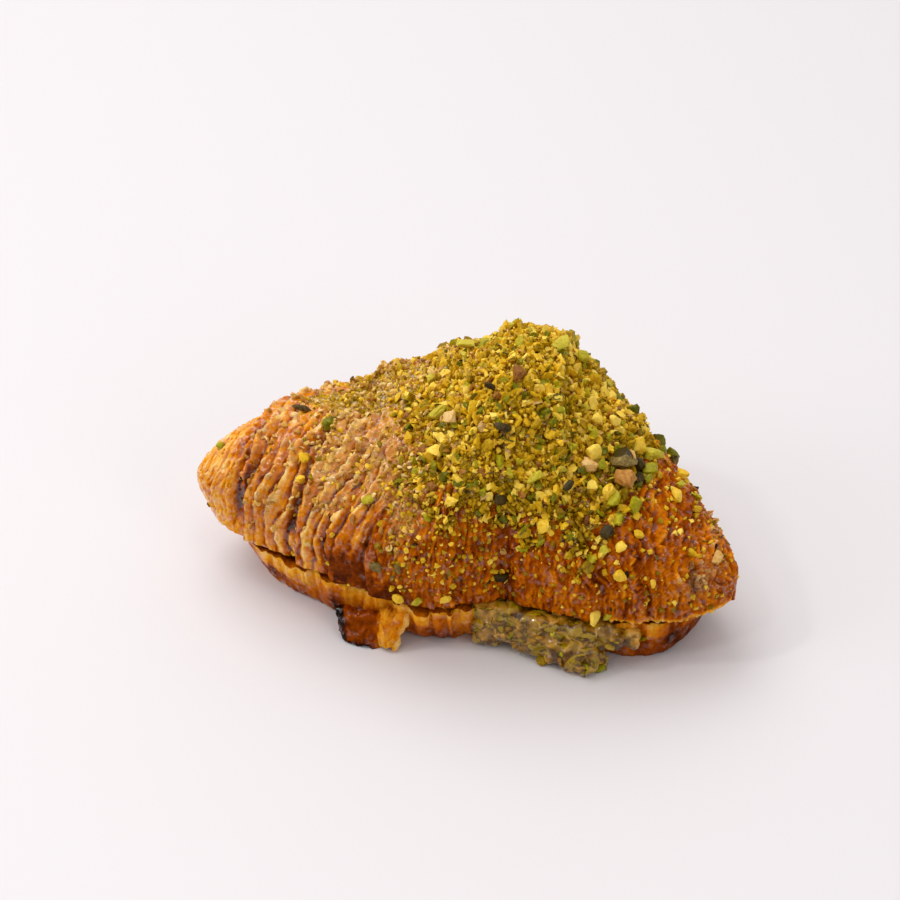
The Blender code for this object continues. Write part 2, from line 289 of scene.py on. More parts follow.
class Shader:
    """A material in the making: short calls for the nodes that every finish here needs."""

    def __init__(self, name: str) -> None:
        """Starts a material that holds one Principled shader."""
        self.material = bpy.data.materials.new(name)
        self.material.use_nodes = True
        self.tree = self.material.node_tree
        self.shader = self.tree.nodes["Principled BSDF"]
        self.place = self.tree.nodes.new("ShaderNodeTexCoord").outputs["Object"]

    def set(self, **values: float | tuple) -> None:
        """Sets the shader's own sockets. An underscore in a name stands for a space."""
        for name, value in values.items():
            self.shader.inputs[name.replace("_", " ")].default_value = value

    def link(self, source: Socket, target: str) -> None:
        """Leads a value to one of the shader's sockets."""
        self.tree.links.new(source, self.shader.inputs[target])

    def noise(self, grain: float, detail: float = 3.0, roughness: float = 0.55) -> Socket:
        """Noise.

        Args:
            grain: Its grain in metres.
            detail: How many finer layers are added.
            roughness: How strong each layer is against the one before.

        Returns:
            The socket of a value about 0.5.
        """
        node = self.tree.nodes.new("ShaderNodeTexNoise")
        node.inputs["Scale"].default_value = 1 / grain
        node.inputs["Detail"].default_value = detail
        node.inputs["Roughness"].default_value = roughness
        self.tree.links.new(self.place, node.inputs["Vector"])
        return node.outputs["Fac"]

    def cells(self, size: float, stir: float) -> tuple[Socket, Socket]:
        """Irregular cells.

        Args:
            size: How wide a cell is.
            stir: How far its borders are pulled about.

        Returns:
            A number of each cell's own, and how far a place lies from its cell's border.
        """
        pull = self.tree.nodes.new("ShaderNodeTexNoise")
        pull.inputs["Scale"].default_value = 1.6 / size
        self.tree.links.new(self.place, pull.inputs["Vector"])
        stirred = self.tree.nodes.new("ShaderNodeVectorMath")
        stirred.operation = "MULTIPLY_ADD"
        stirred.inputs[1].default_value = (2 * stir, 2 * stir, 2 * stir)
        self.tree.links.new(pull.outputs["Color"], stirred.inputs[0])
        self.tree.links.new(self.place, stirred.inputs[2])
        found = []
        for feature in ("F1", "DISTANCE_TO_EDGE"):
            node = self.tree.nodes.new("ShaderNodeTexVoronoi")
            node.feature = feature
            node.inputs["Scale"].default_value = 1 / size
            self.tree.links.new(stirred.outputs[0], node.inputs["Vector"])
            found.append(node)
        split = self.tree.nodes.new("ShaderNodeSeparateColor")
        self.tree.links.new(found[0].outputs["Color"], split.inputs["Color"])
        return split.outputs["Red"], found[1].outputs["Distance"]

    def height(self) -> Socket:
        """How high a place lies, in metres."""
        split = self.tree.nodes.new("ShaderNodeSeparateXYZ")
        self.tree.links.new(self.place, split.inputs[0])
        return split.outputs["Z"]

    def attribute(self, name: str) -> Socket:
        """A number that the mesh holds for each vertex."""
        node = self.tree.nodes.new("ShaderNodeAttribute")
        node.attribute_name = name
        return node.outputs["Fac"]

    def math(self, kind: str, first: Socket | float, second: Socket | float) -> Socket:
        """A sum, product or the like of two values.

        Args:
            kind: The operation's name.
            first: A socket or a number.
            second: A socket or a number.

        Returns:
            The result's socket.
        """
        node = self.tree.nodes.new("ShaderNodeMath")
        node.operation = kind
        for socket, value in zip(node.inputs, (first, second)):
            if isinstance(value, float):
                socket.default_value = value
            else:
                self.tree.links.new(value, socket)
        return node.outputs[0]

    def spread(self, value: Socket, low: float, high: float, to_low: float = 0.0,
               to_high: float = 1.0) -> Socket:
        """Maps a range to another one, smoothly and held at its ends.

        Args:
            value: The value's socket.
            low: Where the range starts.
            high: Where it ends.
            to_low: What its start becomes.
            to_high: What its end becomes.

        Returns:
            The result's socket.
        """
        node = self.tree.nodes.new("ShaderNodeMapRange")
        node.interpolation_type = "SMOOTHSTEP"
        for name, number in (("From Min", low), ("From Max", high), ("To Min", to_low), ("To Max", to_high)):
            node.inputs[name].default_value = number
        self.tree.links.new(value, node.inputs["Value"])
        return node.outputs["Result"]

    def ramp(self, value: Socket, colours: tuple) -> Socket:
        """Colours along a value.

        Args:
            value: The number that picks the colour.
            colours: Pairs of a place from 0 to 1 and a linear colour.

        Returns:
            The colour's socket.
        """
        node = self.tree.nodes.new("ShaderNodeValToRGB")
        elements = node.color_ramp.elements
        for _ in range(len(colours) - 2):
            elements.new(0.5)
        for element, (place, colour) in zip(elements, colours):
            element.position = place
            element.color = colour
        self.tree.links.new(value, node.inputs["Fac"])
        return node.outputs["Color"]

    def mix(self, share: Socket, first: Socket | tuple, second: Socket | tuple) -> Socket:
        """Mixes two colours.

        Args:
            share: The second one's share.
            first: A socket or a linear colour.
            second: A socket or a linear colour.

        Returns:
            The mixed colour's socket.
        """
        node = self.tree.nodes.new("ShaderNodeMix")
        node.data_type = "RGBA"
        self.tree.links.new(share, node.inputs["Factor"])
        for socket, value in zip((node.inputs[6], node.inputs[7]), (first, second)):
            if isinstance(value, tuple):
                socket.default_value = value
            else:
                self.tree.links.new(value, socket)
        return node.outputs[2]

    def bump(self, height: Socket, depth: float, strength: float = 1.0) -> None:
        """Roughens the surface.

        Args:
            height: The height's socket, from 0 to 1.
            depth: How deep its full range is, in metres.
            strength: How much of it counts.
        """
        node = self.tree.nodes.new("ShaderNodeBump")
        node.inputs["Strength"].default_value = strength
        node.inputs["Distance"].default_value = depth
        self.tree.links.new(height, node.inputs["Height"])
        self.link(node.outputs["Normal"], "Normal")


@dataclass(frozen=True)
class CrustFinish:
    """Egg-washed crust: golden on the crests and red-brown in the valleys, partly the bake and partly painted
    highlight and painted shade, with pale glaze and nut dust.
    """

    pale: tuple = srgb(250, 206, 124)
    golden: tuple = srgb(236, 160, 34)
    orange: tuple = srgb(206, 112, 4)
    brown: tuple = srgb(152, 66, 0)
    dark: tuple = srgb(84, 30, 2)
    burnt: tuple = srgb(22, 12, 8)
    glaze: tuple = srgb(240, 200, 132)
    glaze_shade: tuple = srgb(188, 126, 54)
    dust: tuple = srgb(214, 168, 30)
    dust_shade: tuple = srgb(120, 86, 4)
    grain: float = 1.1 * MM

    def make(self, name: str) -> bpy.types.Material:
        """Builds the material under a name."""
        shader = Shader(name)
        fine, coarse = shader.noise(self.grain, 4.0, 0.6), shader.noise(5 * self.grain, 3.0)
        bake = shader.math("ADD", shader.attribute("bake"), shader.spread(fine, 0.3, 0.7, -0.05, 0.05))
        bake = shader.math("ADD", bake, shader.spread(coarse, 0.3, 0.7, -0.07, 0.07))
        crust = shader.ramp(bake, ((0.0, self.pale), (0.2, self.golden), (0.42, self.orange),
                                   (0.64, self.brown), (0.85, self.dark), (1.0, self.burnt)))
        glaze_edge = shader.math("ADD", shader.attribute("glaze"), shader.spread(fine, 0.3, 0.7, -0.2, 0.2))
        glaze = shader.mix(coarse, self.glaze_shade, self.glaze)
        colour = shader.mix(shader.spread(glaze_edge, 0.15, 0.85), crust, glaze)
        dust_edge = shader.math("ADD", shader.attribute("dust"), shader.spread(fine, 0.3, 0.7, -0.3, 0.3))
        dust = shader.spread(shader.noise(0.6 * self.grain), 0.35, 0.65)
        dust = shader.mix(dust, self.dust_shade, self.dust)
        colour = shader.mix(shader.spread(dust_edge, 0.35, 0.75), colour, dust)
        shader.link(colour, "Base Color")
        dull = shader.spread(coarse, 0.3, 0.7, 0.20, 0.42)
        rough = shader.math("ADD", dull, shader.spread(shader.attribute("dust"), 0.2, 0.8, 0.0, 0.3))
        shader.link(rough, "Roughness")
        shader.bump(shader.math("ADD", fine, shader.math("MULTIPLY", coarse, 1.5)), 0.5 * MM, 0.7)
        drops = shader.noise(1.8 * self.grain, 2.0)
        wet = shader.math("ADD", drops, shader.math("MULTIPLY", shader.attribute("wet"), 0.06))
        shader.link(shader.spread(wet, 0.52, 0.63, 0.0, 1.0), "Coat Weight")
        shader.set(Coat_Roughness=0.05, Coat_IOR=1.6, Specular_IOR_Level=0.02,
                   Specular_Tint=(1.0, 0.8, 0.55, 1.0), Subsurface_Weight=0.35, Subsurface_Scale=0.0025,
                   Subsurface_Radius=(1.0, 0.35, 0.06))
        return shader.material


@dataclass(frozen=True)
class NutFinish:
    """Chopped pistachio: each piece has its own tint, and some have a dark skin on one side. Pieces higher up
    are painted lighter, a painted light from above.
    """

    tints: tuple = stops((0.0, 134, 104, 0), (0.3, 196, 154, 8), (0.6, 236, 186, 26), (1.0, 255, 220, 92))
    skin: tuple = srgb(104, 98, 30)
    grain: float = 0.9 * MM
    # heights over which the nuts are painted lighter by up to the fade amount: painted light from above
    painted_light_heights: tuple = (44 * MM, 70 * MM)
    fade: float = 0.08
    roughness: float = 0.5
    coat: float = 0.06

    def make(self, name: str) -> bpy.types.Material:
        """Builds the material under a name."""
        shader = Shader(name)
        fine = shader.noise(self.grain, 3.0)
        tint = shader.math("ADD", shader.attribute("tint"), shader.spread(fine, 0.3, 0.7, -0.14, 0.14))
        # painted light: the higher a piece lies, the lighter its tint
        painted_top_light = shader.spread(shader.height(), *self.painted_light_heights, -self.fade, self.fade)
        tint = shader.math("ADD", tint, painted_top_light)
        colour = shader.ramp(tint, self.tints)
        skin = shader.math("ADD", shader.attribute("skin"), shader.spread(fine, 0.3, 0.7, -0.15, 0.15))
        colour = shader.mix(shader.spread(skin, 0.45, 0.6), colour, self.skin)
        shader.link(colour, "Base Color")
        shader.link(shader.spread(fine, 0.3, 0.7, self.roughness - 0.12, self.roughness + 0.12), "Roughness")
        shader.bump(fine, 0.25 * MM, 0.5)
        shader.set(Coat_Weight=self.coat, Coat_Roughness=0.08, Specular_IOR_Level=0.15,
                   Subsurface_Weight=0.15, Subsurface_Scale=0.0015, Subsurface_Radius=(1.0, 0.8, 0.15))
        return shader.material


@dataclass(frozen=True)
class CreamFinish:
    """Pistachio cream: glossy and translucent, grey-olive with yellow-green patches."""

    base: tuple = srgb(154, 110, 20)
    pale: tuple = srgb(200, 148, 58)
    green: tuple = srgb(168, 140, 4)
    shade: tuple = srgb(84, 50, 2)
    vein: tuple = srgb(226, 170, 66)
    grain: float = 3.4 * MM
    cell: float = 6.0 * MM

    def make(self, name: str) -> bpy.types.Material:
        """Builds the material under a name."""
        shader = Shader(name)
        coarse, fine = shader.noise(1.6 * self.grain, 3.0), shader.noise(0.5 * self.grain, 3.0)
        tint, edge = shader.cells(self.cell, 2.6 * MM)
        tint = shader.math("MULTIPLY", tint, 0.6)
        tint = shader.math("ADD", tint, shader.spread(coarse, 0.3, 0.7, -0.1, 0.5))
        colour = shader.ramp(tint, ((0.0, self.shade), (0.22, self.base), (0.42, self.green),
                                    (0.55, self.shade), (0.7, self.base), (0.95, self.pale)))
        vein = shader.spread(edge, 0.10, 0.0, 0.0, 0.6)
        vein = shader.math("MULTIPLY", vein, shader.spread(coarse, 0.40, 0.60))
        colour = shader.mix(vein, colour, self.vein)
        shader.link(colour, "Base Color")
        shader.link(shader.spread(fine, 0.3, 0.7, 0.10, 0.24), "Roughness")
        shader.bump(shader.spread(edge, 0.0, 0.3), 0.5 * MM, 0.6)
        shader.set(Coat_Weight=0.7, Coat_Roughness=0.04, Specular_IOR_Level=0.15,
                   Subsurface_Weight=0.4, Subsurface_Scale=0.003, Subsurface_Radius=(1.0, 0.7, 0.15))
        return shader.material


@dataclass(frozen=True)
class TableFinish:
    """The plain pale table top."""

    colour: tuple = srgb(226, 222, 223)
    shade: float = 0.985
    patch: float = 0.4
    roughness: float = 0.6

    def make(self, name: str) -> bpy.types.Material:
        """Builds the material under a name."""
        shader = Shader(name)
        shaded = tuple(self.shade * channel for channel in self.colour[:3]) + (1.0,)
        shader.link(shader.mix(shader.noise(self.patch, 2.0), self.colour, shaded), "Base Color")
        shader.set(Roughness=self.roughness)
        return shader.material


# The form ---------------------------------------------------------------------


@dataclass(frozen=True)
class PastryForm:
    """The whole croissant's body, from which both halves and the cream take their shape."""

    length: float = 0.158
    half_depth: float = 0.0440
    height: float = 0.0722
    upper_face: float = 0.0155
    lower_face: float = 0.0121
    nose_length: float = 0.011
    steepest_cut: float = math.radians(78)
    crown_power: float = 2.15
    upper_keel_power: float = 2.8
    lower_keel_power: float = 4.5
    box_middle_y: float = 0.000933
    spine_step: float = 0.01
    lip_lean_turn: float = math.radians(115)
    lip_edge: float = 0.0016
    lip_fade: float = 0.012
    lip_overhang: float = 0.42
    fold_x: float = 0.0180
    fold_width: float = 0.0030
    fold_depth: float = 0.0020
    fold_climb: float = math.radians(45)
    fold_foot: float = 0.9
    full_rise: float = 0.0028
    layer_rounds: int = 5
    # share of the length, spine, half depth and top as shares of the largest, belly and sole
    stations: tuple = (
        (0.00, -0.0178, 0.15, 0.46, 0.0280, 0.0165),
        (0.13, -0.0122, 0.41, 0.625, 0.0275, 0.0000),
        (0.28, -0.0055, 0.77, 0.70, 0.0280, -0.0040),
        (0.40, -0.0005, 0.955, 0.80, 0.0290, -0.0040),
        (0.52, 0.0025, 0.96, 0.97, 0.0300, -0.0040),
        (0.61, 0.0010, 0.865, 0.975, 0.0300, -0.0040),
        (0.70, -0.0030, 0.71, 0.83, 0.0290, -0.0040),
        (0.79, -0.0073, 0.57, 0.675, 0.0275, -0.0040),
        (0.86, -0.0100, 0.455, 0.565, 0.0260, -0.0035),
        (0.93, -0.0120, 0.31, 0.455, 0.0250, -0.0015),
        (1.00, -0.0135, 0.13, 0.38, 0.0245, 0.0080),
    )
    # where the edge meets the front, its lean and its rise
    left_lips: tuple = ((-0.0185, 0.021, 0.0026), (-0.0310, 0.012, 0.0014), (-0.0425, 0.007, 0.0024),
                        (-0.0600, 0.001, 0.0026))
    right_lips: tuple = ((0.0430, 0.024, 0.0028), (0.0555, 0.012, 0.0016), (0.0670, 0.005, 0.0016))

    def values(self, share: Array) -> Array:
        """A smooth curve through the stations.

        Args:
            share: Shares of the length.

        Returns:
            Spine, half depth, top, belly and sole along the last axis.
        """
        rows = np.array(self.stations)
        shares, columns = rows[:, 0], rows[:, 1:]
        place = np.arange(len(shares))
        low, high = np.maximum(place - 1, 0), np.minimum(place + 1, len(shares) - 1)
        slope = (columns[high] - columns[low]) / (shares[high] - shares[low])[:, None]
        after = np.clip(np.searchsorted(shares, share), 1, len(shares) - 1)
        before = after - 1
        span = (shares[after] - shares[before])[..., None]
        t = np.clip((share - shares[before])[..., None] / span, 0, 1)
        start = (2 * t**3 - 3 * t**2 + 1) * columns[before] + (t**3 - 2 * t**2 + t) * slope[before] * span
        return start + (3 * t**2 - 2 * t**3) * columns[after] + (t**3 - t**2) * slope[after] * span

    def spine(self, share: Array) -> tuple[Array, Array]:
        """The line that the sections are threaded on.

        Args:
            share: Shares of the length.

        Returns:
            Centres of the sections on the table and the spine's turn there.
        """
        share = np.asarray(share, float)
        ahead = self.values(share + self.spine_step)[..., 0]
        back = self.values(share - self.spine_step)[..., 0]
        y = self.values(share)[..., 0] - self.box_middle_y
        centre = np.stack([self.length * (share - 0.5), y, np.zeros_like(share)], axis=-1)
        return centre, np.arctan((ahead - back) / (2 * self.spine_step * self.length))

    def nose(self, share: Array) -> Array:
        """Shrinks the sections towards each tip."""
        to_tip = np.minimum(share, 1 - share) * self.length / self.nose_length
        return np.sqrt(np.clip(1 - np.clip(1 - to_tip, 0, 1) ** 2, 0, 1))

    def climb(self, angle: Array) -> Array:
        """How far a lip has climbed at an angle, from 0 at the front to 1 past the crown."""
        return np.clip(angle, 0, self.lip_lean_turn) / self.lip_lean_turn

    def layer_place(self, x: Array, angle: Array) -> Array:
        """Where the layer line through a place meets the front, the same all along a layer's edge.

        Args:
            x: Place along the croissant.
            angle: Angle round the section.

        Returns:
            Places along the croissant.
        """
        fronts = [(front_x, lean) for front_x, lean, _ in self.left_lips]
        fronts = sorted(fronts + [(front_x, -lean) for front_x, lean, _ in self.right_lips])
        place = x
        for _ in range(self.layer_rounds):
            lean = np.interp(place, [row[0] for row in fronts], [row[1] for row in fronts])
            place = x - lean * self.climb(angle)
        return place

    def lips(self, x: Array, angle: Array) -> tuple[Array, Array, Array]:
        """How far the rolled layers stand out.

        Args:
            x: Place along the croissant.
            angle: Angle round the section.

        Returns:
            The relief, how far the lips' edges reach over, and how deep in a step's foot a place lies.
        """
        climb = self.climb(angle)
        relief, reach, foot = np.zeros_like(x), np.zeros_like(x), np.zeros_like(x)
        for side, lips in ((-1, self.left_lips), (1, self.right_lips)):
            for front_x, lean, rise in lips:
                inside = side * (front_x - side * lean * climb - x)
                behind = np.clip(inside, 0, None)
                step = ease(inside / self.lip_edge + 1) * (inside > -self.lip_edge)
                relief += rise * step * np.exp(-behind / self.lip_fade)
                reach += side * self.lip_overhang * rise * step * np.exp(-behind / (2 * self.lip_edge))
                before = (inside + 1.3 * self.lip_edge) / (1.2 * self.lip_edge)
                foot += rise / self.full_rise * np.exp(-(before**2))
        fold = ease(1 - np.clip(angle, 0, None) / self.fold_climb)
        groove = fold * np.exp(-(((x - self.fold_x) / self.fold_width) ** 2))
        return relief - self.fold_depth * groove, reach, np.clip(foot + self.fold_foot * groove, 0, 1)

    def body(self, share: Array, angle: Array, keel_power: float, grow: Array | float) -> Array:
        """Points on the uncut body, without its relief.

        Args:
            share: Shares of the length.
            angle: From 0 at the front, over the crown, to half a turn at the back.
            keel_power: How square the section is below its belly.
            grow: How far the points stand out.

        Returns:
            The points.
        """
        centre, turn = self.spine(share)
        _, depth_share, top_share, belly, sole = np.moveaxis(self.values(share), -1, 0)
        shrink = self.nose(share)
        across, lift = np.cos(angle), np.sin(angle)
        power = np.where(lift >= 0, self.crown_power, keel_power)
        out = self.half_depth * depth_share * shrink * np.sign(across) * np.abs(across) ** (2 / power)
        reach = np.where(lift >= 0, self.height * top_share - belly, belly - sole) * shrink
        rise = reach * np.sign(lift) * np.abs(lift) ** (2 / power)
        out, rise = out + across * grow, rise + lift * grow
        return centre + np.stack([np.sin(turn) * out, -np.cos(turn) * out, belly + rise], axis=-1)

    def cut_angle(self, share: Array, height: float, keel_power: float) -> Array:
        """The angle at which the front wall passes the height of a cut.

        Args:
            share: Shares of the length.
            height: The cut's height.
            keel_power: How square the section is below its belly.

        Returns:
            Angles below 0.
        """
        _, _, _, belly, sole = np.moveaxis(self.values(share), -1, 0)
        drop = np.clip((belly - height) / ((belly - sole) * np.maximum(self.nose(share), 1e-6)), 0, 1)
        return -np.minimum(np.arcsin(drop ** (keel_power / 2)), self.steepest_cut)


class Border(NamedTuple):
    """A soft border, in mm: where it starts and how wide it is."""

    start: float
    width: float

    def past(self, place: Array, blur: Array | float = 0.0) -> Array:
        """Goes from 0 at the border's start to 1 beyond it, with the border pulled about by the blur."""
        return ease((place - self.start + blur) / self.width)

    def before(self, place: Array) -> Array:
        """Goes from 0 at the border's start to 1 before it."""
        return ease((self.start - place) / self.width)


class Patch(NamedTuple):
    """A soft round patch, in mm: the place of its middle and its half width and half height."""

    x: float
    z: float
    half_width: float
    half_height: float

    def share(self, x: Array, z: Array) -> Array:
        """1 in the middle of the patch and 0 far from it."""
        return np.exp(-(((x - self.x) / self.half_width) ** 2) - (((z - self.z) / self.half_height) ** 2))


class Valley(NamedTuple):
    """A valley between two ridges, carved deeper and painted darker, partly as painted shade, in mm: its
    middle, its lean, its half width and its two ends.
    """

    x: float
    lean: float
    half_width: float
    low: float
    high: float


@dataclass
class UpperCrust:
    """The upper half: rolled layers with flaky ridges, blisters, glaze and a ragged lower edge.

    Borders, patches and valleys are in mm, as the formulas for the relief are.
    """

    form: PastryForm
    finish: CrustFinish = field(default_factory=CrustFinish)
    rings: int = 404
    tip_rings: int = 9
    tip_share: float = 0.012
    wall_sides: int = 226
    face_sides: int = 4
    front_bias: float = 1.15
    ridge_drift: float = 8 * MM
    broad_pitch: float = 3.9 * MM
    fold_pitch: float = 2.6 * MM
    fine_pitch: float = 1.5 * MM
    hem_height: float = 3.5 * MM
    edge_wave: float = 0.35 * MM
    cut_bake: float = 0.35
    bake_range: tuple = (0.02, 0.82)
    wet_range: tuple = (-2, 1.8)
    left_arm: Border = Border(-12, 12)
    right_arm: Border = Border(26, 14)
    nose_end: Border = Border(-61, 5)
    veil_end: Border = Border(4, 14)
    nut_edge_x: tuple = (-44, -30, -20, -10, -3, 17, 36, 44, 50, 56)
    nut_edge_z: tuple = (64, 61, 57, 51, 45, 42, 38, 40, 48, 60)
    red_patches: tuple = (Patch(-27, 21, 6.5, 8), Patch(-13, 17, 6.5, 6))
    low_patch: Patch = Patch(-14, 35, 10, 8)
    valley_patch: Patch = Patch(-56, 36, 5, 9)
    tip_patch: Patch = Patch(70, 27, 5, 5)
    valley_places: tuple = (Valley(-59.5, 0.25, 2.3, 20, 46), Valley(-42.0, 0.2, 1.7, 22, 46),
                            Valley(-28.0, 0.35, 1.5, 30, 48))
    valley_level: float = 34
    valley_end: float = 5

    def grid(self) -> None:
        """Lays out the wall's places along and round the piece."""
        ends = self.tip_share * (1 - np.cos(np.linspace(0, math.pi / 2, self.tip_rings + 2)[1:-1]))
        middle = np.linspace(self.tip_share, 1 - self.tip_share, self.rings - 2 * self.tip_rings)
        share = np.concatenate([ends, middle, 1 - ends[::-1]])[:, None]
        start = self.form.cut_angle(share, self.form.upper_face, self.form.upper_keel_power)
        steps = np.linspace(0, 1, self.wall_sides + 1)[None, :] ** self.front_bias
        self.share = np.broadcast_to(share, (self.rings, self.wall_sides + 1))
        self.angle = start + (math.pi - 2 * start) * steps
        self.base = self.form.body(self.share, self.angle, self.form.upper_keel_power, 0.0)
        self.x, self.y, self.z = np.moveaxis(self.base, -1, 0)
        stride = np.linalg.norm(np.diff(self.base, axis=1), axis=-1)
        self.around = np.concatenate([np.zeros((self.rings, 1)), np.cumsum(stride, axis=1)], axis=1)
        drift = self.ridge_drift * self.form.climb(self.angle) * ease((-12 * MM - self.x) / (12 * MM))
        self.layer = self.form.layer_place(self.x, self.angle) - drift
        self.flow = np.stack([self.layer, self.around, np.zeros_like(self.x)], axis=-1)

    def mottle(self, grain: float, seed: int, octaves: int = 1) -> Array:
        """Noise with a grain in mm, alike in all directions."""
        return waves(self.base / (grain * MM), seed, octaves)

    def streaks(self, along: float, across: float, seed: int, octaves: int = 1) -> Array:
        """Noise that follows the layers, with its grain along the piece and round it in mm."""
        return waves(self.flow / (np.array([along, across, 1]) * MM), seed, octaves)

    def zones(self) -> None:
        """Marks the two arms, where nuts lie, the glazed patches and the dark valleys, each from 0 to 1."""
        x, y, z = self.x / MM, self.y / MM, self.z / MM
        front = self.y < 0
        blur, spot = self.mottle(9, 3, 3), self.mottle(3.2, 5, 2)
        self.left = self.left_arm.before(x)
        self.right = self.right_arm.past(x)
        self.middle = 1 - np.maximum(self.left, self.right)
        self.nose_skin = self.nose_end.before(x)
        nut_edge = np.interp(x, self.nut_edge_x, self.nut_edge_z)
        self.nutty = ease((z - nut_edge + 9 * blur + 5 * spot) / 15 + 0.45)
        self.heaped = Border(16, 14).past(x) * Border(12, 12).before(y)
        low = Border(-20, 12).past(x) * (1 - 0.8 * Border(14, 6).past(x))
        high = Border(-50, 16).past(x) * Border(34, 14).past(z, 6 * blur)
        near = ease((z - nut_edge + 9 * blur + 16) / 18)
        strewn = 0.03 + 0.12 * self.right + 1.1 * low * Border(16, 9).past(z) * (0.9 + 0.8 * spot)
        self.sprinkled = np.clip(strewn + 0.5 * high + 0.5 * near * Border(10, 10).past(x), 0, 1)
        self.powder = Border(-54, 8).past(x) * self.veil_end.before(x) * Border(-10, 8).past(y, 5 * blur)
        self.powder = self.powder * Border(40, 12).past(z, 9 * blur)

        veil = Border(-46, 12).past(x) * self.veil_end.before(x) * Border(34, 10).past(z, 6 * blur)
        arm_veil = 0.4 * Border(-62, 5).past(x) * Border(-30, 10).before(x) * Border(20, 10).past(z, 5 * blur)
        self.rosy = np.clip(1.2 * sum(patch.share(x, z) for patch in self.red_patches), 0, 1) * front
        self.veiled = np.clip((veil + arm_veil) * (0.9 + 0.7 * spot) * (1 - 0.4 * self.nutty), 0, 1)
        self.veiled = self.veiled * (1 - 0.8 * self.rosy)
        tip = self.tip_patch.share(x, z)
        glazed = 0.8 * veil + 0.75 * self.left * Border(22, 12).past(z)
        glazed = glazed + 0.6 * self.low_patch.share(x, z) + 0.5 * self.valley_patch.share(x, z)
        patchy = ease(0.45 + 1.5 * self.mottle(5, 7, 2))
        self.glazed = np.clip((glazed + 0.05) * (0.4 + 0.6 * patchy) + 0.9 * tip, 0, 0.85)
        self.film = np.clip(veil + 0.8 * arm_veil + 0.9 * tip, 0, 1)

        self.valleys = np.zeros_like(x)
        for valley in self.valley_places:
            across = (x - valley.x - valley.lean * (z - self.valley_level) + 1.2 * blur) / valley.half_width
            depth = np.exp(-(across**2)) * ease((z - valley.low) / self.valley_end)
            depth = depth * ease((valley.high - z) / self.valley_end) * front
            self.valleys = np.maximum(self.valleys, depth)

    def ridges(self, pitch: float, seed: int, waver: float) -> tuple[Array, Array, Array]:
        """Edges of the thin layers, steep towards the tips.

        Args:
            pitch: Distance between the edges.
            seed: Picks one of many unlike sets.
            waver: How far the edges wander, in pitches.

        Returns:
            Height from 0 to 1, how close a place is to a crest and how close to the crack before it.
        """
        wander = waver * waves(self.flow / np.array([3.0 * pitch, 3.4 * pitch, 1]), seed)
        wander = wander + 0.3 * waver * waves(self.flow / np.array([1.0 * pitch, 0.8 * pitch, 1]), seed + 1)
        phase = -np.abs(self.layer + 0.01) / pitch + wander
        number = np.floor(phase)
        part = phase - number
        numbers = np.stack([number, number * 0, number * 0], axis=-1).astype(np.int64)
        fading = 0.85 + 0.8 * waves(self.flow / np.array([2 * pitch, 4 * pitch, 1]), seed + 2)
        strength = np.clip((0.55 + 0.45 * lattice(numbers, seed)) * fading, 0.1, 1.3)
        profile = ease(part / 0.22) * (0.22 + 0.78 * (1 - part) ** 2.0) * ease((1 - part) / 0.2)
        crest = np.exp(-(((part - 0.27) / 0.16) ** 2))
        crack = 1 - ease(part / 0.16) * ease((1 - part) / 0.22)
        return profile * strength, np.clip(crest * strength, 0, 1), np.clip(crack * strength, 0, 1)

    def step_feet(self) -> Array:
        """How deep each place lies in the foot of a rolled layer's step, broken up and held to the waist."""
        x, z = self.x / MM, self.z / MM
        _, _, foot = self.form.lips(self.x, self.angle)
        foot = np.clip(foot * (0.85 + 0.7 * self.streaks(5, 9, 37, 2)), 0, 1)
        waist = ease((z - 20) / 8) * (1 - ease((z - 42) / 6))
        foot = foot * (1 - ease((-50 - x) / 6) * (1 - waist))
        return foot * (1 - 0.7 * ease((z - 46) / 8))

    def glaze_lumps(self, drawn: Array) -> Array:
        """Drops of glaze that sit on the crests.

        Args:
            drawn: Places in mm, stirred a little.

        Returns:
            How much glaze each place has, from 0 to 1.
        """
        lumps = domes(drawn / 2.7, 41, 0.15 + self.glazed, 0.22, 0.58)
        lumps = np.maximum(lumps, 0.65 * domes(drawn / 1.5, 47, self.glazed, 0.2, 0.55))
        settle = (0.2 + 0.8 * ease(1.7 * self.crest)) * (1 - 0.6 * self.foot)
        amount = np.clip(lumps * settle * 1.5 * ease(self.glazed / 0.25), 0, 1)
        return amount * (1 - 0.6 * self.nose_skin)

    def relief(self) -> Array:
        """How far each place stands out beyond the rolled layers. Crests and cracks are kept for the marks.

        Returns:
            Heights in metres.
        """
        x, z = self.x / MM, self.z / MM
        broad, broad_crest, broad_crack = self.ridges(self.broad_pitch, 11, 0.6)
        fine, fine_crest, fine_crack = self.ridges(self.fine_pitch, 21, 0.6)
        folds, folds_crest, folds_crack = self.ridges(self.fold_pitch, 15, 1.3)
        arm = self.left * (1 - 0.7 * self.nose_skin)
        crest = arm * (0.95 * broad_crest + 0.2 * fine_crest)
        crest = crest + (1 - arm) * (0.5 * fine_crest + 0.4 * folds_crest)
        crack = arm * (broad_crack + 0.15 * fine_crack)
        crack = crack + (1 - arm) * (0.3 * fine_crack + 0.6 * folds_crack)
        self.crest, self.crack = np.clip(crest, 0, 1), np.clip(crack, 0, 1)
        self.foot = self.step_feet()
        stir = np.stack([self.mottle(2, seed) for seed in (42, 43, 44)], axis=-1)
        drawn = self.base / MM + 0.8 * stir
        self.glaze = self.glaze_lumps(drawn)
        self.blisters = domes(self.base / (2.6 * MM), 53, 0.6 * (1 - self.nutty))
        heap = domes(self.base / (2.1 * MM), 59, 0.9 * self.nutty)
        beads = domes(drawn / 2.5, 57, 0.75, 0.3, 0.62) - 0.35
        rough = self.mottle(1.7, 31, 2)
        hem = 0.2 + 0.8 * ease((self.z - 17 * MM) / (12 * MM))
        shoulder = np.exp(-(((x + 9) / 10) ** 2))
        slope = np.exp(-(((x + 30) / 12) ** 2)) * ease((z - 40) / 10)

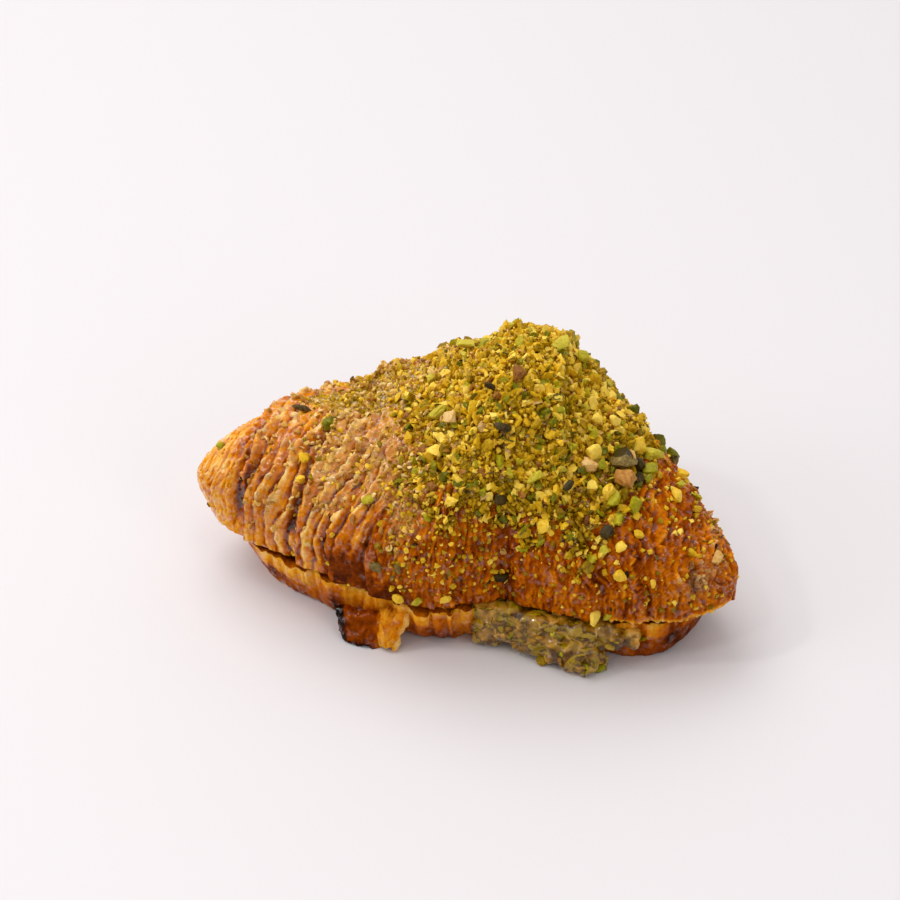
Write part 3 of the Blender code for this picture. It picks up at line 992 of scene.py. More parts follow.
        arm = arm * (1 - 0.6 * ease((self.angle - math.radians(80)) / math.radians(30)))
        height = arm * hem * (2.5 * broad + 0.5 * fine + 1.1 * broad_crest * beads)
        height = height + 0.5 * self.left * self.nose_skin * fine
        height = height + self.right * (0.7 * fine + 1.5 * folds + 0.35 * self.blisters)
        height = height + self.middle * (0.5 * fine + 1.2 * folds + 0.6 * self.blisters)
        height = height - (0.8 + 0.6 * self.left) * self.foot
        height = height + 1.2 * self.glaze + 0.3 * self.crest * rough + 0.2 * rough
        height = height + self.nutty * (0.7 * heap - 2.3 - 1.6 * shoulder)
        height = height * (1 - 0.6 * self.valleys) * (1 - 0.8 * self.rosy) - 1.2 * self.valleys
        height = height - (1.2 * self.veiled + 2.0 * slope) * (1 - self.nutty)
        return height * MM * self.form.nose(self.share)

    def bake(self) -> Array:
        """How dark each place is, from 0 for pale to 1 for burnt: mostly the bake, with painted highlight on
        the crests and painted shade in the cracks, the feet of the steps, the valleys and the gaps between
        the nuts.
        """
        seam = 0.35 * ease((17.4 * MM - self.z) / (1.2 * MM)) * ease((self.x - 44 * MM) / (5 * MM))
        bake = 0.385 * self.left + 0.60 * self.middle + 0.58 * self.right
        # the ground under the nuts is darker, partly as painted shade in the gaps between them
        bake = bake - 0.08 * self.nose_skin + 0.2 * self.nutty
        bake = bake + 0.08 * self.mottle(7, 61, 3) + 0.06 * self.mottle(2.2, 63, 2)
        bake = bake + 0.16 * self.streaks(1.5, 8, 65, 2) - 0.12 * self.blisters * self.middle
        bake = bake + (0.28 + 0.24 * self.left) * self.rosy
        # painted shade: darker in the crease at the foot of each step
        bake = bake + self.foot * (0.18 + 0.2 * self.left)
        # partly bake, partly painted light: cracks painted darker as shade, crests painted lighter as
        # highlight
        crack_bake_and_shade = 0.5 * self.left + 0.3 * self.right + 0.22 * self.middle
        bake = bake + self.crack * crack_bake_and_shade * (1 - 0.6 * self.rosy)
        crest_bake_and_highlight = 0.46 * self.left + 0.36 * self.right + 0.24 * self.middle
        bake = bake - self.crest * crest_bake_and_highlight * (1 - 0.75 * self.rosy)
        bake = bake - seam * (self.y < 0)
        # partly painted shade: the valleys are darker, most on their crests
        bake = bake + self.valleys * (0.2 + 0.25 * self.crest)
        return np.clip(bake, *self.bake_range)

    def marks(self) -> dict[str, Array]:
        """The finish's marks and the covers of the nuts, by the name of the attribute that holds them."""
        glaze = np.maximum(self.glaze, 0.5 * self.film * (1 - 0.5 * self.crack))
        glaze = glaze * (1 - 0.7 * self.valleys) * (1 - 0.6 * self.rosy)
        wet = 1.4 * self.left * (1 - self.rosy) - 2 * self.rosy + 0.6 * self.valleys + glaze
        dust = 0.75 * self.nutty + 0.8 * self.powder + 0.3 * self.veiled
        dust = dust + 0.35 * self.sprinkled * self.mottle(3, 67, 2)
        return {
            "bake": self.bake(),
            "glaze": glaze,
            "wet": np.clip(wet, *self.wet_range),
            "dust": np.clip(dust, 0, 1),
            "nutty": self.nutty,
            "heaped": self.heaped * self.nutty,
            "sprinkled": np.clip(self.sprinkled + 0.6 * self.powder, 0, 1),
            "veiled": np.clip(self.veiled + 0.3 * self.powder, 0, 1),
        }

    def wall(self) -> Array:
        """The points of the whole wall, with its lips, its relief and its ragged lower edge."""
        nose = self.form.nose(self.share)
        lip_relief, reach, _ = self.form.lips(self.x, self.angle)
        under = np.where(self.angle < 0, 1 + np.sin(self.angle), 1)
        points = self.form.body(self.share, self.angle, self.form.upper_keel_power, lip_relief * nose * under)
        points[..., 0] += reach * nose
        points += grid_normals(points) * self.relief()[..., None]
        hem = ease((self.form.upper_face + self.hem_height - points[..., 2]) / self.hem_height)
        hem = hem * (self.angle < math.pi / 2)
        points[..., 1] -= hem * (0.4 + 0.5 * self.streaks(2.6, 6, 73, 2)) * MM * nose
        edge = self.form.upper_face + self.edge_wave * (1 + self.mottle(2.5, 71, 2))
        points[..., 2] = np.maximum(points[..., 2], self.form.upper_face)
        body = self.x[:, 0] > -71 * MM
        for column in (0, -1):
            lowered = np.minimum(points[:, column, 2], edge[:, column])
            points[:, column, 2] = np.where(body, lowered, points[:, column, 2])
        return points

    def build(self) -> bpy.types.Object:
        """Builds and dresses the piece, which replaces its solid."""
        self.grid()
        self.zones()
        points = self.wall()
        across = np.linspace(0, 1, self.face_sides + 1)[None, 1:-1, None]
        face = points[:, -1:, :] * (1 - across) + points[:, :1, :] * across
        ring = np.concatenate([points, face], axis=1)
        tips = points[[0, -1]].mean(axis=1)
        vertices = np.concatenate([ring.reshape(-1, 3), tips])
        made = new_object("flaky_top", vertices, tube_faces(self.rings, ring.shape[1]))
        for name, values in self.marks().items():
            on_face = np.zeros((self.rings, self.face_sides - 1)) + (self.cut_bake if name == "bake" else 0.0)
            flat = np.concatenate([values, on_face], axis=1).ravel()
            store(made, name, np.concatenate([flat, [flat[0], flat[-1]]]))
        made.data.materials.append(self.finish.make("glazed_crust"))
        self.points, self.normals = points, grid_normals(points)
        return made

    def seen(self, view: "Studio") -> tuple[Array, Array]:
        """Where the camera shows the surface's points.

        Args:
            view: The studio with the camera.

        Returns:
            The image's columns and rows, far outside it for points that face away.
        """
        place = np.array(view.camera_place())
        column, row = view.pixels(self.points)
        facing = np.sum(self.normals * (place - self.points), axis=-1) > 0
        return np.where(facing, column, -FAR_AWAY), np.where(facing, row, -FAR_AWAY)


@dataclass
class LowerCrust:
    """The lower half: a flat-based slab with a ruffled golden rim."""

    form: PastryForm
    finish: CrustFinish = field(default_factory=CrustFinish)
    start: float = 0.075
    end: float = 0.952
    rings: int = 420
    wall_sides: int = 84
    face_sides: int = 24
    crowding: float = 0.11
    face_crowding: float = 0.13
    inset: float = -0.0010
    tip_length: float = 0.012
    ruffle: float = 0.0009
    ruffle_pitch: float = 0.0085
    face_gap: float = 0.2 * MM
    lip_shares: tuple = (0.95, 0.9, 0.8, 0.6, 0.3, 0.1)
    bake_range: tuple = (0.17, 0.98)
    # painted shade: the cut face is dark brown for the shade in the gap between the halves, lighter in its
    # rows at the front lip
    cut_bake: float = 0.82
    lip_bake: float = 0.5
    lip_rows: int = 5
    tip_bake: float = 0.4

    def end_shrink(self, share: Array) -> Array:
        """Narrows the slab towards its own tips, from 1 to 0.

        Args:
            share: Shares of the length.

        Returns:
            Factors for the sections.
        """
        middle = (self.start + self.end) / 2
        to_tip = np.where(share < middle, share - self.start, self.end - share)
        to_tip = to_tip * self.form.length / self.tip_length
        return np.sqrt(np.clip(1 - np.clip(1 - to_tip, 0, 1) ** 2, 0, 1))

    def reach(self, share: Array, angle: Array) -> Array:
        """How far the wall stands from the body's own section.

        Args:
            share: Shares of the length.
            angle: Angles round the section.

        Returns:
            Distances outward.
        """
        x = self.form.length * (share - 0.5)
        ripple = np.sin(2 * math.pi * x / self.ruffle_pitch + 2.4 * np.sin(x / 0.013))
        return self.ruffle * ripple * (1 + np.sin(np.minimum(angle, 0))) - self.inset

    def front_wall(self, x: float, height: float) -> Vector:
        """Finds the front wall at a place along the croissant.

        Args:
            x: The place.
            height: The height that the point gets.

        Returns:
            The point.
        """
        share = np.array([x / self.form.length + 0.5])
        for _ in range(4):
            angle = self.form.cut_angle(share, self.form.lower_face, self.form.lower_keel_power)
            point = self.form.body(share, angle, self.form.lower_keel_power, self.reach(share, angle))[0]
            share = share + (x - point[0]) / self.form.length
        return Vector((x, point[1], height))

    def grid(self) -> tuple[Array, Array]:
        """Lays out the wall's places.

        Returns:
            Shares of the length, and angles from the front rim under the slab to the back rim.
        """
        steps = np.linspace(0, 1, self.rings + 2)[1:-1]
        steps = steps - self.crowding * np.sin(2 * math.pi * steps) / math.pi
        share = (self.start + (self.end - self.start) * steps)[:, None]
        first = self.form.cut_angle(share, self.form.lower_face, self.form.lower_keel_power)
        angle = first - (math.pi + 2 * first) * np.linspace(0, 1, self.wall_sides + 1)[None, :]
        return np.broadcast_to(share, angle.shape), angle

    def relief(self, points: Array) -> Array:
        """How far wrinkles and ruffles stand out. The rim, the wrinkles and the pleats are kept for the bake.

        Args:
            points: The smooth wall.

        Returns:
            Heights in metres.
        """
        x, y, z = np.moveaxis(points, -1, 0)
        self.flow = np.stack([x, z * 0.35, y * 0.3], axis=-1)
        self.along = np.stack([x, y * 0.5, z * 0.25], axis=-1)
        self.rim = ease((z - 6 * MM) / (5 * MM))
        self.wrinkle = waves(self.flow / (2.4 * MM), 81, 3)
        folds = np.sin(x / (0.42 * MM) + 2 * waves(self.along / (4 * MM), 89, 2))
        self.pleat = folds * ease(0.2 + waves(self.along / (8 * MM), 90, 2))
        frill = 1.5 * waves(self.along / (5 * MM), 83) + 0.7 * waves(self.along / (1.9 * MM), 84)
        shelter = np.exp(-(((x + 19.5 * MM) / (9 * MM)) ** 2))
        creamy = ease((x - 8 * MM) / (4 * MM)) * ease((58 * MM - x) / (4 * MM))
        frill = (0.7 + 0.8 * frill + 0.45 * self.pleat) * (1 - 0.8 * creamy) * (1 - shelter) - 2.0 * shelter
        return (0.45 * self.wrinkle + self.rim * frill) * MM

    def curl(self, points: Array) -> Array:
        """How far the rim's edge curls up.

        Args:
            points: The ruffled wall.

        Returns:
            Heights in metres.
        """
        x = points[..., 0]
        curl = 1.8 + 1.1 * waves(self.along / (3.5 * MM), 85, 2) + 0.7 * waves(self.along / (1.3 * MM), 86)
        ends = ease((x - 48 * MM) / (6 * MM)) + 0.8 * ease((-28 * MM - x) / (8 * MM))
        return np.clip(curl + 1.2 * ends, 0.3, 3.2) * MM

    def bake(self, points: Array) -> Array:
        """How dark each place is, round the whole ring: mostly the bake, with a painted highlight along the
        rim's top edge and a dark brown on the cut face that is painted shade in the gap between the halves.

        Args:
            points: The finished wall.

        Returns:
            Values from 0 for pale to 1 for burnt, the last two for the tips.
        """
        bake = 0.58 - 0.24 * self.rim - 0.06 * self.lift + 0.22 * waves(self.flow / (5 * MM), 87, 3)
        bake = bake - 0.2 * np.clip(self.wrinkle, -0.8, 1) * self.rim
        # the pleats' lighter crests are bake; the lighter top edge of the rim is a painted highlight
        bake = bake - 0.12 * self.pleat * self.rim - 0.2 * ease((points[..., 2] - 12.6 * MM) / (1.2 * MM))
        bake = bake + 0.18 * ease((points[..., 0] - 30 * MM) / (20 * MM))
        # painted shade on the cut face between the halves, less of it at the front lip
        on_face = np.full((self.rings, self.face_sides - 1), self.cut_bake)
        on_face[:, -self.lip_rows:] = self.lip_bake
        marks = np.concatenate([bake, on_face], axis=1)[:, ::-1].ravel()
        return np.clip(np.concatenate([marks, [self.tip_bake, self.tip_bake]]), *self.bake_range)

    def face(self, points: Array) -> Array:
        """The cut face between the two rims, drawn up to the curled front rim.

        Args:
            points: The finished wall.

        Returns:
            The face's points without the rims' own.
        """
        steps = np.linspace(0, 1, self.face_sides + 1)
        across = (steps - self.face_crowding * np.sin(2 * math.pi * steps))[None, 1:-1, None]
        face = points[:, -1:, :] * (1 - across) + points[:, :1, :] * across
        face[..., 2] = self.form.lower_face - self.face_gap
        for number, lip_share in enumerate(self.lip_shares, start=1):
            face[:, -number, 2] += lip_share * (points[:, 0, 2] - self.form.lower_face)
        return face

    def build(self) -> bpy.types.Object:
        """Builds and dresses the piece, which replaces its solid."""
        share, angle = self.grid()
        points = self.form.body(share, angle, self.form.lower_keel_power, self.reach(share, angle))
        points = points - grid_normals(points) * self.relief(points)[..., None]
        shrink = self.end_shrink(share)
        centre, _ = self.form.spine(share)
        face_height = self.form.lower_face
        height = face_height + (np.clip(points[..., 2], 0, face_height) - face_height) * shrink
        points = centre + (points - centre) * shrink[..., None]
        points[..., 2] = height
        self.lift = ease((points[..., 2] - 9.5 * MM) / (2.4 * MM))
        points[..., 2] += self.curl(points) * self.lift * shrink
        ring = np.concatenate([points, self.face(points)], axis=1)[:, ::-1]
        tips = ring[[0, -1]].mean(axis=1)
        vertices = np.concatenate([ring.reshape(-1, 3), tips])
        made = new_object("ruffled_base", vertices, tube_faces(self.rings, ring.shape[1]))
        store(made, "bake", self.bake(points))
        made.data.materials.append(self.finish.make("golden_rim_crust"))
        return made


@dataclass
class Tongue:
    """A tongue of crust that hangs from the rim to the table."""

    form: PastryForm
    base: LowerCrust
    name: str = "scorched_tongue"
    finish: CrustFinish = field(default_factory=CrustFinish)
    x: float = -0.0218
    size: Vector = field(default_factory=lambda: Vector((0.0155, 0.0026, 0.0082)))
    splay: float = math.radians(22)
    drop: float = 0.0036
    proud: float = -0.0014
    curl: float = 0.0018
    lean: float = 0.0016
    taper: float = 0.22
    ragged: float = 0.0014
    bake: float = 0.68
    scorch: float = 0.45
    steps: int = 26
    bake_range: tuple = (0.02, 1.0)

    def sheet(self, side: float, top: Vector) -> tuple[Array, Array]:
        """One side of the tongue.

        Args:
            side: Where it lies in the tongue's thickness, from -0.5 to 0.5.
            top: The point that the tongue hangs from.

        Returns:
            A grid of points, and how dark each of them is baked.
        """
        places = np.linspace(-0.5, 0.5, self.steps)
        across, up = np.meshgrid(places, places, indexing="ij")
        drop = 0.5 - up
        hang = drop * self.size.z
        flow = np.stack([across * 5, drop * 5, 0 * drop + 0.4], axis=-1)
        edge = np.minimum(0.5 - np.abs(across), 0.5 + up)
        thick = side * self.size.y * np.sqrt(np.clip(edge / 0.12, 0.02, 1))
        x = top.x + across * self.size.x * (1 - self.taper * drop)
        x = x + 0.8 * MM * waves(flow, 103, 2) + self.lean * drop
        y = top.y + self.proud + thick - hang * math.sin(self.splay)
        y = y - self.curl * drop * np.cos(math.pi * across) + 0.5 * MM * waves(flow * 1.3, 105, 2)
        z = np.maximum(top.z - hang + self.ragged * waves(flow, 107, 2), TABLE_GAP)
        burn = ease((drop - 0.72 + 0.15 * waves(flow, 109, 2)) / 0.2)
        burn = np.maximum(ease((-across - 0.22) / 0.2), burn)
        burn = burn * (1 - 0.9 * ease((across - 0.25) / 0.15))
        gold = ease((across - 0.30) / 0.12)
        bake = self.bake + 0.12 * waves(flow, 111, 2) + self.scorch * burn - 0.3 * gold
        return np.stack([x, y, z], axis=-1), bake

    def faces(self) -> list:
        """Faces of the two sides and of the border between them, as tuples of vertex numbers."""
        count, n = self.steps * self.steps, self.steps
        faces = []
        for i, j in itertools.product(range(n - 1), repeat=2):
            front = (i * n + j, (i + 1) * n + j, (i + 1) * n + j + 1, i * n + j + 1)
            faces.append(front)
            faces.append(tuple(count + k for k in reversed(front)))
        border = [(i, 0) for i in range(n)] + [(n - 1, j) for j in range(1, n)]
        border += [(i, n - 1) for i in range(n - 2, -1, -1)] + [(0, j) for j in range(n - 2, 0, -1)]
        numbers = [i * n + j for i, j in border]
        for low, high in zip(numbers, numbers[1:] + numbers[:1]):
            faces.append((high, low, low + count, high + count))
        return faces

    def build(self) -> bpy.types.Object:
        """Builds and dresses the piece."""
        top = self.base.front_wall(self.x, self.form.lower_face - self.drop)
        sides = [self.sheet(side, top) for side in (-0.5, 0.5)]
        vertices = np.concatenate([points.reshape(-1, 3) for points, _ in sides])
        made = new_object(self.name, vertices, self.faces())
        bake = np.concatenate([marks.ravel() for _, marks in sides])
        store(made, "bake", np.clip(bake, *self.bake_range))
        made.data.materials.append(self.finish.make(f"{self.name}_crust"))
        return made


@dataclass
class Cream:
    """The filling between the halves and the lumps squeezed out at the front."""

    form: PastryForm
    base: LowerCrust
    finish: CreamFinish = field(default_factory=CreamFinish)
    voxel: float = 0.62 * MM
    clearance: float = 0.42 * MM
    inset: float = 3.0 * MM
    back_inset: float = 1.3 * MM
    tip_inset: float = 0.025
    tip_step: float = 0.005
    rings: int = 40
    sides: int = 9
    floor: float = 0.4 * MM
    # x, how far out, height and radius of each lump
    seam: tuple = (
        (0.0135, 0.0004, 0.0100, 0.0030), (0.0185, 0.0006, 0.0102, 0.0032), (0.0235, 0.0010, 0.0108, 0.0036),
        (0.029, 0.0016, 0.0116, 0.0042), (0.0345, 0.0018, 0.0114, 0.0042), (0.040, 0.0016, 0.0114, 0.0042),
        (0.0455, 0.0012, 0.0114, 0.0040), (0.0495, 0.0008, 0.0098, 0.0042), (0.0535, 0.0002, 0.0102, 0.0034),
    )
    spill: tuple = (
        (0.0115, -0.0006, 0.010, 0.0032), (0.0155, -0.0002, 0.0086, 0.0046), (0.0205, 0.0002, 0.0080, 0.0050),
        (0.0260, 0.0008, 0.0074, 0.0052), (0.0315, 0.0018, 0.0062, 0.0052), (0.0355, 0.0042, 0.0040, 0.0046),
        (0.0400, 0.0050, 0.0042, 0.0052), (0.0440, 0.0040, 0.0044, 0.0042),
    )

    def layer(self) -> tuple[Array, list]:
        """The flat layer between the two cut faces.

        Returns:
            Rows of x, y and z, and tuples of vertex numbers.
        """
        low, high = self.form.lower_face + self.clearance, self.form.upper_face - self.clearance
        start, end = self.base.start + self.tip_inset, self.base.end - self.tip_inset
        rows = []
        for share in np.linspace(start + self.tip_step, end - self.tip_step, self.rings):
            share = np.array([share])
            centre = self.form.spine(share)[0][0]
            for z, first in ((high, 0.0), (low, math.pi)):
                for angle in first + math.pi * np.arange(self.sides + 1) / self.sides:
                    side, inset = (0.0, self.inset) if math.cos(angle) > 0 else (math.pi, self.back_inset)
                    edge = self.form.body(share, np.array([side]), self.form.lower_keel_power, -inset)[0]
                    pull = abs(math.cos(angle)) * float(self.base.end_shrink(share)[0])
                    flat = centre + (edge - centre) * pull
                    rows.append((flat[0], flat[1], z))
        tips = []
        for share in (start, end):
            centre = self.form.spine(np.array([share]))[0][0]
            tips.append((centre[0], centre[1], (low + high) / 2))
        return np.array(rows + tips), tube_faces(self.rings, 2 * (self.sides + 1))

    def lumps(self) -> list[tuple[Vector, Vector]]:
        """Centres and radii of the lumps at the front."""
        places = []
        for x, out, height, radius in self.spill:
            centre = self.base.front_wall(x, height) - Vector((0, out, 0))
            places.append((centre, Vector((radius, 0.85 * radius, height))))
        for x, out, height, radius in self.seam:
            centre = self.base.front_wall(x, height) - Vector((0, out, 0))
            places.append((centre, Vector((1.2 * radius, radius, 0.8 * radius))))
        return places

    def melted(self) -> bpy.types.Object:
        """Joins the layer and the lumps to one closed surface."""
        vertices, faces = self.layer()
        made = new_object("cream_core", vertices, faces)
        for i, (centre, radii) in enumerate(self.lumps()):
            bpy.ops.mesh.primitive_ico_sphere_add(subdivisions=4, radius=1.0, location=(0, 0, 0))
            ball = bpy.context.object
            rows = vectors_of(ball.data.vertices, "co")
            swell = 1 + 0.22 * waves(rows * 1.6 + 9 * i, 91, 2)
            rows = np.array(centre) + rows * np.array(radii) * swell[:, None]
            rows[:, 2] = np.maximum(rows[:, 2], self.floor)
            ball.data.vertices.foreach_set("co", rows.ravel())
            bpy.ops.object.select_all(action="DESELECT")
            ball.select_set(True)
            made.select_set(True)
            bpy.context.view_layer.objects.active = made
            bpy.ops.object.join()
        remesh = made.modifiers.new("melt", "REMESH")
        remesh.mode = "VOXEL"
        remesh.voxel_size = self.voxel
        cream = plain_mesh(made, "spilled_cream")
        bpy.data.objects.remove(made, do_unlink=True)
        return cream

    def build(self) -> bpy.types.Object:
        """Builds and dresses the piece, which replaces its solid."""
        cream = self.melted()
        rows, normals = vectors_of(cream.data.vertices, "co"), vectors_of(cream.data.vertex_normals, "vector")
        core = (rows[:, 2] > self.form.lower_face) & (rows[:, 2] < self.form.upper_face)
        free = np.where(core & (np.abs(normals[:, 2]) > 0.5), 0.0, 1.0)
        swell = 0.35 * waves(rows / (3.6 * MM), 93, 2)
        swell = swell + 2.0 * domes(rows / (5.2 * MM), 95, 0.85, 0.34, 0.68) - 0.9
        rows = rows + normals * (swell * MM * free)[:, None]
        rows[:, 2] = np.clip(rows[:, 2], 0.3 * MM, self.form.upper_face - 0.2 * MM)
        cream.data.vertices.foreach_set("co", rows.ravel())
        cream.data.shade_smooth()
        cream.data.materials.clear()
        cream.data.materials.append(self.finish.make("pistachio_filling"))
        studded = ease((-rows[:, 1] - 18 * MM) / (6 * MM)) * ease(rows[:, 0] / (8 * MM))
        store(cream, "studded", studded * ease((13.5 * MM - rows[:, 2]) / (2 * MM)))
        return cream


# Nuts -------------------------------------------------------------------------


class Chop(Enum):
    """How the nuts were chopped: name, detail, roughness of the outline, flatness and share with a skin."""

    CRUMB = ("crumb", 1, 0.42, 0.75, 0.0)
    CHUNK = ("chunk", 2, 0.40, 0.60, 0.0)
    SLICE = ("slice", 2, 0.30, 0.30, 0.12)
    LUMP = ("lump", 2, 0.16, 0.50, 0.0)


@dataclass
class NutShapes:
    """A few raw shapes of one chop, a millimetre across, for scattering."""

    chop: Chop
    count: int = 9
    bend: float = 2.4
    dent: float = 0.55
    edge: float = math.radians(38)

    def collection(self) -> bpy.types.Collection:
        """Builds the shapes in a collection of their own."""
        group = bpy.data.collections.new(f"{self.chop.value[0]}_shapes")
        bpy.context.scene.collection.children.link(group)
        for number in range(self.count):
            shape = self.shape(number)
            bpy.context.scene.collection.objects.unlink(shape)
            group.objects.link(shape)
        return group

    def raw(self, name: str, detail: int) -> bpy.types.Object:
        """Makes a ball of 20 or 24 faces.

        Args:
            name: The object's name.
            detail: 1 for a ball of triangles, more for one of squares.

        Returns:
            The ball.
        """
        if detail == 1:
            bpy.ops.mesh.primitive_ico_sphere_add(subdivisions=1, radius=0.5)
            return bpy.context.object
        bpy.ops.mesh.primitive_cube_add(size=1.0)
        cube = bpy.context.object
        step = cube.modifiers.new("soften", "SUBSURF")
        step.levels = step.render_levels = 1
        ball = plain_mesh(cube, name)
        bpy.data.objects.remove(cube, do_unlink=True)
        return ball

    def shape(self, number: int) -> bpy.types.Object:
        """Makes one raw shape: a ball that is dented, flattened and bent, with a skin on one side of some.

        Args:
            number: Which of the shapes.

        Returns:
            The shape.
        """
        name, detail, rough, flat, skinned = self.chop.value
        name, seed = f"{name}_{number}", 5 + 13 * number
        shape = self.raw(name, detail)
        rows = vectors_of(shape.data.vertices, "co")
        rows = rows / np.linalg.norm(rows, axis=1, keepdims=True) * 0.5
        ids = np.stack([np.arange(len(rows)), np.full(len(rows), seed), np.zeros(len(rows))], axis=-1)
        ids = ids.astype(np.int64)
        swell = 1 + rough * (2 * lattice(ids, seed) - 1) + 0.5 * rough * waves(rows * 3, seed)
        rows = rows * swell[:, None] * np.array([1.0, 0.5 * (1 + flat), flat])
        if detail > 1:
            hollow = np.linalg.norm(rows[:, :2], axis=1)
            rows[:, 2] -= self.dent * 0.5 * np.exp(-((hollow / 0.22) ** 2)) * (rows[:, 2] > 0)
        curve = self.bend * (lattice(ids[:1], seed + 3)[0] - 0.3)
        rows[:, 2] += curve * (rows[:, 0] ** 2 - 0.08)
        shape.data.vertices.foreach_set("co", rows.ravel())
        shape.name = name
        shape.data.shade_smooth()
        shape.data.set_sharp_from_angle(angle=self.edge)
        store(shape, "skin", ease(rows[:, 2] / 0.2 + 0.4) * (1.0 if number < skinned * self.count else 0.0))
        return shape


class ScatterTree:
    """The node tree that strews shapes over a surface."""

    INPUTS = (("Geometry", "Geometry"), ("Shapes", "Collection"), ("Cover", "String"), ("Spacing", "Float"),
              ("Per Area", "Float"), ("Smallest", "Float"), ("Largest", "Float"), ("Lift", "Float"),
              ("Seed", "Int"), ("Finish", "Material"))
    HIGHEST_PICK = 99

    def __init__(self) -> None:
        """Builds the tree."""
        self.tree = bpy.data.node_groups.new("strew_nuts", "GeometryNodeTree")
        for name, kind in self.INPUTS:
            self.tree.interface.new_socket(name, in_out="INPUT", socket_type=f"NodeSocket{kind}")
        self.tree.interface.new_socket("Geometry", in_out="OUTPUT", socket_type="NodeSocketGeometry")
        self.given = self.node("NodeGroupInput").outputs
        self.dress(self.place(self.spots()))

    def spots(self) -> Socket:
        """Strews points over the ground, thickly where the cover is full, and lifts them."""
        points = self.node("GeometryNodeDistributePointsOnFaces")
        points.distribute_method = "POISSON"
        cover = self.node("GeometryNodeInputNamedAttribute")
        cover.data_type = "FLOAT"
        self.join(self.given["Cover"], cover.inputs["Name"])
        self.join(self.given["Geometry"], points.inputs["Mesh"])
        self.join(self.given["Spacing"], points.inputs["Distance Min"])
        self.join(self.given["Per Area"], points.inputs["Density Max"])
        self.join(cover.outputs["Attribute"], points.inputs["Density Factor"])
        self.join(self.given["Seed"], points.inputs["Seed"])
        lift = self.node("ShaderNodeVectorMath")
        lift.operation = "SCALE"
        self.join(points.outputs["Normal"], lift.inputs[0])
        self.join(self.random(self.given["Lift"], None, 1), lift.inputs["Scale"])
        raised = self.node("GeometryNodeSetPosition")
        self.join(points.outputs["Points"], raised.inputs["Geometry"])
        self.join(lift.outputs[0], raised.inputs["Offset"])
        return raised.outputs["Geometry"]

    def place(self, spots: Socket) -> Socket:
        """Puts a shape on each point, turned any way."""
        shapes = self.node("GeometryNodeCollectionInfo")
        shapes.inputs["Separate Children"].default_value = True
        shapes.inputs["Reset Children"].default_value = True
        self.join(self.given["Shapes"], shapes.inputs["Collection"])
        placed = self.node("GeometryNodeInstanceOnPoints")
        placed.inputs["Pick Instance"].default_value = True
        self.join(spots, placed.inputs["Points"])
        self.join(shapes.outputs["Instances"], placed.inputs["Instance"])
        pick = self.node("FunctionNodeRandomValue")
        pick.data_type = "INT"
        pick.inputs[5].default_value = self.HIGHEST_PICK
        self.join(self.given["Seed"], pick.inputs["Seed"])
        self.join(pick.outputs[2], placed.inputs["Instance Index"])
        turn = self.node("FunctionNodeRandomValue")
        turn.data_type = "FLOAT_VECTOR"
        turn.inputs[1].default_value = (math.tau, math.tau, math.tau)
        self.join(self.given["Seed"], turn.inputs["Seed"])
        self.join(turn.outputs[0], placed.inputs["Rotation"])
        self.join(self.random(self.given["Smallest"], self.given["Largest"], 2), placed.inputs["Scale"])
        return placed.outputs["Instances"]

    def dress(self, placed: Socket) -> None:
        """Gives each shape its tint, and all of them the finish."""
        tint = self.node("GeometryNodeStoreNamedAttribute")
        tint.data_type, tint.domain = "FLOAT", "INSTANCE"
        tint.inputs["Name"].default_value = "tint"
        self.join(placed, tint.inputs["Geometry"])
        self.join(self.random(None, None, 3), tint.inputs["Value"])
        real = self.node("GeometryNodeRealizeInstances")
        self.join(tint.outputs["Geometry"], real.inputs["Geometry"])
        dressed = self.node("GeometryNodeSetMaterial")
        self.join(real.outputs["Geometry"], dressed.inputs["Geometry"])
        self.join(self.given["Finish"], dressed.inputs["Material"])
        self.join(dressed.outputs["Geometry"], self.node("NodeGroupOutput").inputs["Geometry"])

    def node(self, kind: str) -> bpy.types.Node:
        """Adds a node."""
        return self.tree.nodes.new(kind)

    def join(self, source: Socket, target: Socket) -> None:
        """Links two sockets."""
        self.tree.links.new(source, target)

    def random(self, low: Socket | None, high: Socket | None, salt: int) -> Socket:
        """A random number for each piece, from 0 to 1 without a low end.

        Args:
            low: The low end's socket, or the high end's where no other is given.
            high: The high end's socket.
            salt: Picks one of many unlike draws.

        Returns:
            The number's socket.
        """
        node = self.node("FunctionNodeRandomValue")
        node.data_type = "FLOAT"
        if high is None and low is not None:
            node.inputs[2].default_value = 0.0
            self.join(low, node.inputs[3])
        elif low is not None:
            self.join(low, node.inputs[2])
            self.join(high, node.inputs[3])
        seed = self.node("ShaderNodeMath")
        seed.operation = "ADD"
        seed.inputs[1].default_value = float(salt)
        self.join(self.given["Seed"], seed.inputs[0])
        self.join(seed.outputs[0], node.inputs["Seed"])
        return node.outputs[1]

    def strew(self, name: str, ground: bpy.types.Object, **values: object) -> bpy.types.Object:
        """Strews shapes over a piece.

        Args:
            name: The new piece's name.
            ground: What the shapes lie on.
            **values: The tree's inputs, an underscore standing for a space.

        Returns:
            The new piece, a plain mesh.
        """
        carrier = bpy.data.objects.new(f"{name}_ground", ground.data)
        bpy.context.scene.collection.objects.link(carrier)
        step = carrier.modifiers.new("strew", "NODES")
        step.node_group = self.tree
        for item in self.tree.interface.items_tree:
            key = item.name.replace(" ", "_").lower()
            if item.in_out == "INPUT" and key in values:
                step[item.identifier] = values[key]
        made = plain_mesh(carrier, name)
        bpy.data.objects.remove(carrier, do_unlink=True)
        return made


